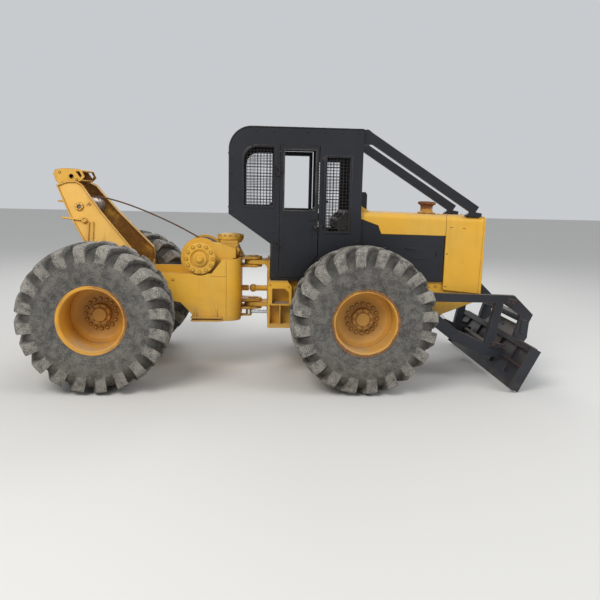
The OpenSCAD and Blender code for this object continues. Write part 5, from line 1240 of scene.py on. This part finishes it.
cylinderSizes = {
    # Pipe as (x, height), and two clamps round the barrel
    "y": 0.497, "barrelZ": 0.702, "pipeRadius": 0.0075, "clamps": (0.390, 0.620), "clampRing": 0.0445,
    "pipe": [(0.300, 0.738), (0.305, 0.757), (0.345, 0.764), (0.520, 0.765), (0.690, 0.765),
             (0.722, 0.760), (0.728, 0.742)],
    "clampWire": 0.0035, "clampHalf": 0.012, "clampLow": 0.744, "clampHigh": 0.776,
}


def buildCylinderDetail(sizes):
    # A pipe along each lift barrel with two clamps
    a, half = roundAngles(40), sizes["clampHalf"]
    for sideName, side in sides.items():
        pipe = [(x, sizes["y"], z) for x, z in sizes["pipe"]]
        shapes = [bent(onSide(side, frontX, pipe), sizes["pipeRadius"])]
        for x in sizes["clamps"]:
            centre = onSide(side, frontX, (x, sizes["y"], sizes["barrelZ"]))
            ring = centre + sizes["clampRing"] * np.stack([0 * a, np.cos(a), np.sin(a)], 1)
            shapes.append(tube(ring, sizes["clampWire"], 6, True))
            corners = [(x - half, sizes["clampLow"]), (x + half, sizes["clampLow"]),
                       (x + half, sizes["clampHigh"]), (x - half, sizes["clampHigh"])]
            shapes.append(plate(corners, -half, half, sideWall(side, sizes["y"], frontX)))
        makePiece(f"liftPipe_{sideName}", shapes, "bladePaint", f"lift_barrel_{sideName}")


buildCabTrim(cabSizes)
buildHoodTrim(hoodSizes)
buildArchDetail(archSizes)
buildBladeDetail(bladeSizes)
buildFrameDetail(frameSizes)
buildDashDetail(dashSizes)
buildCylinderDetail(cylinderSizes)
print("fittings set")

# Floor, light and camera
stageSizes = {"floor": 60.0, "tone": (0.62, 0.61, 0.585), "sky": (0.93, 0.96, 1.0), "skyStrength": 0.62}
# Place, power and colour of each lamp
lampSizes = {"aim": (0, 0, 1), "size": 6.0, "lamps": {
    "keyLamp": ((-5.0, -8.0, 9.0), 900, (1.0, 0.98, 0.95)),
    "fillLamp": ((8.0, -5.0, 6.0), 350, (0.95, 0.97, 1.0)),
    "backLamp": ((0.0, 9.0, 8.0), 450, (0.97, 0.98, 1.0)),
}}
# Focal length and frame in pixels, place in metres, angles in degrees
cameraSizes = {"focal": 620.0, "frame": 600.0, "sensor": 36.0, "x": -0.251, "distance": 7.45, "height": 2.07,
               "pitch": 9.61, "roll": 1.29, "yaw": -3.58}


def buildStage(sizes):
    # Plain pale floor under an even pale sky
    size = sizes["floor"]
    mesh = bpy.data.meshes.new("floor")
    corners = [(-size, -size, 0), (size, -size, 0), (size, size, 0), (-size, size, 0)]
    mesh.from_pydata(corners, [], [(0, 1, 2, 3)])
    floor = bpy.data.objects.new("floor", mesh)
    bpy.context.scene.collection.objects.link(floor)
    p = Paint("floorTone")
    mesh.materials.append(p.finish(sizes["tone"], 0.9, **{"Specular IOR Level": 0.1}))
    world = bpy.data.worlds.new("studio")
    bpy.context.scene.world = world
    world.use_nodes = True
    back = world.node_tree.nodes["Background"]
    back.inputs["Color"].default_value = (*sizes["sky"], 1)
    back.inputs["Strength"].default_value = sizes["skyStrength"]


def buildLamps(sizes):
    # Soft round lamps, all turned to one point
    for name, (place, power, colour) in sizes["lamps"].items():
        lamp = bpy.data.lights.new(name, "AREA")
        lamp.shape = "DISK"
        lamp.size = sizes["size"]
        lamp.energy = power
        lamp.color = colour
        holder = bpy.data.objects.new(name, lamp)
        holder.location = place
        holder.rotation_euler = (Vector(sizes["aim"]) - Vector(place)).to_track_quat("-Z", "Y").to_euler()
        bpy.context.scene.collection.objects.link(holder)


def buildCamera(sizes):
    # Lens = sensor * focal / frame; turned by the roll, then up from straight down, then by the yaw
    camera = bpy.data.cameras.new("view")
    camera.sensor_fit = "HORIZONTAL"
    camera.sensor_width = sizes["sensor"]
    camera.lens = sizes["sensor"] * sizes["focal"] / sizes["frame"]
    holder = bpy.data.objects.new("view", camera)
    tip = Matrix.Identity(4)
    for angle, axis in ((sizes["yaw"], "Z"), (90 - sizes["pitch"], "X"), (sizes["roll"], "Z")):
        tip = tip @ Matrix.Rotation(math.radians(angle), 4, axis)
    holder.matrix_world = Matrix.Translation((sizes["x"], -sizes["distance"], sizes["height"])) @ tip
    bpy.context.scene.collection.objects.link(holder)
    bpy.context.scene.camera = holder


buildStage(stageSizes)
buildLamps(lampSizes)
buildCamera(cameraSizes)
bpy.context.scene.view_settings.view_transform = "Standard"
print("stage, light and camera ready")
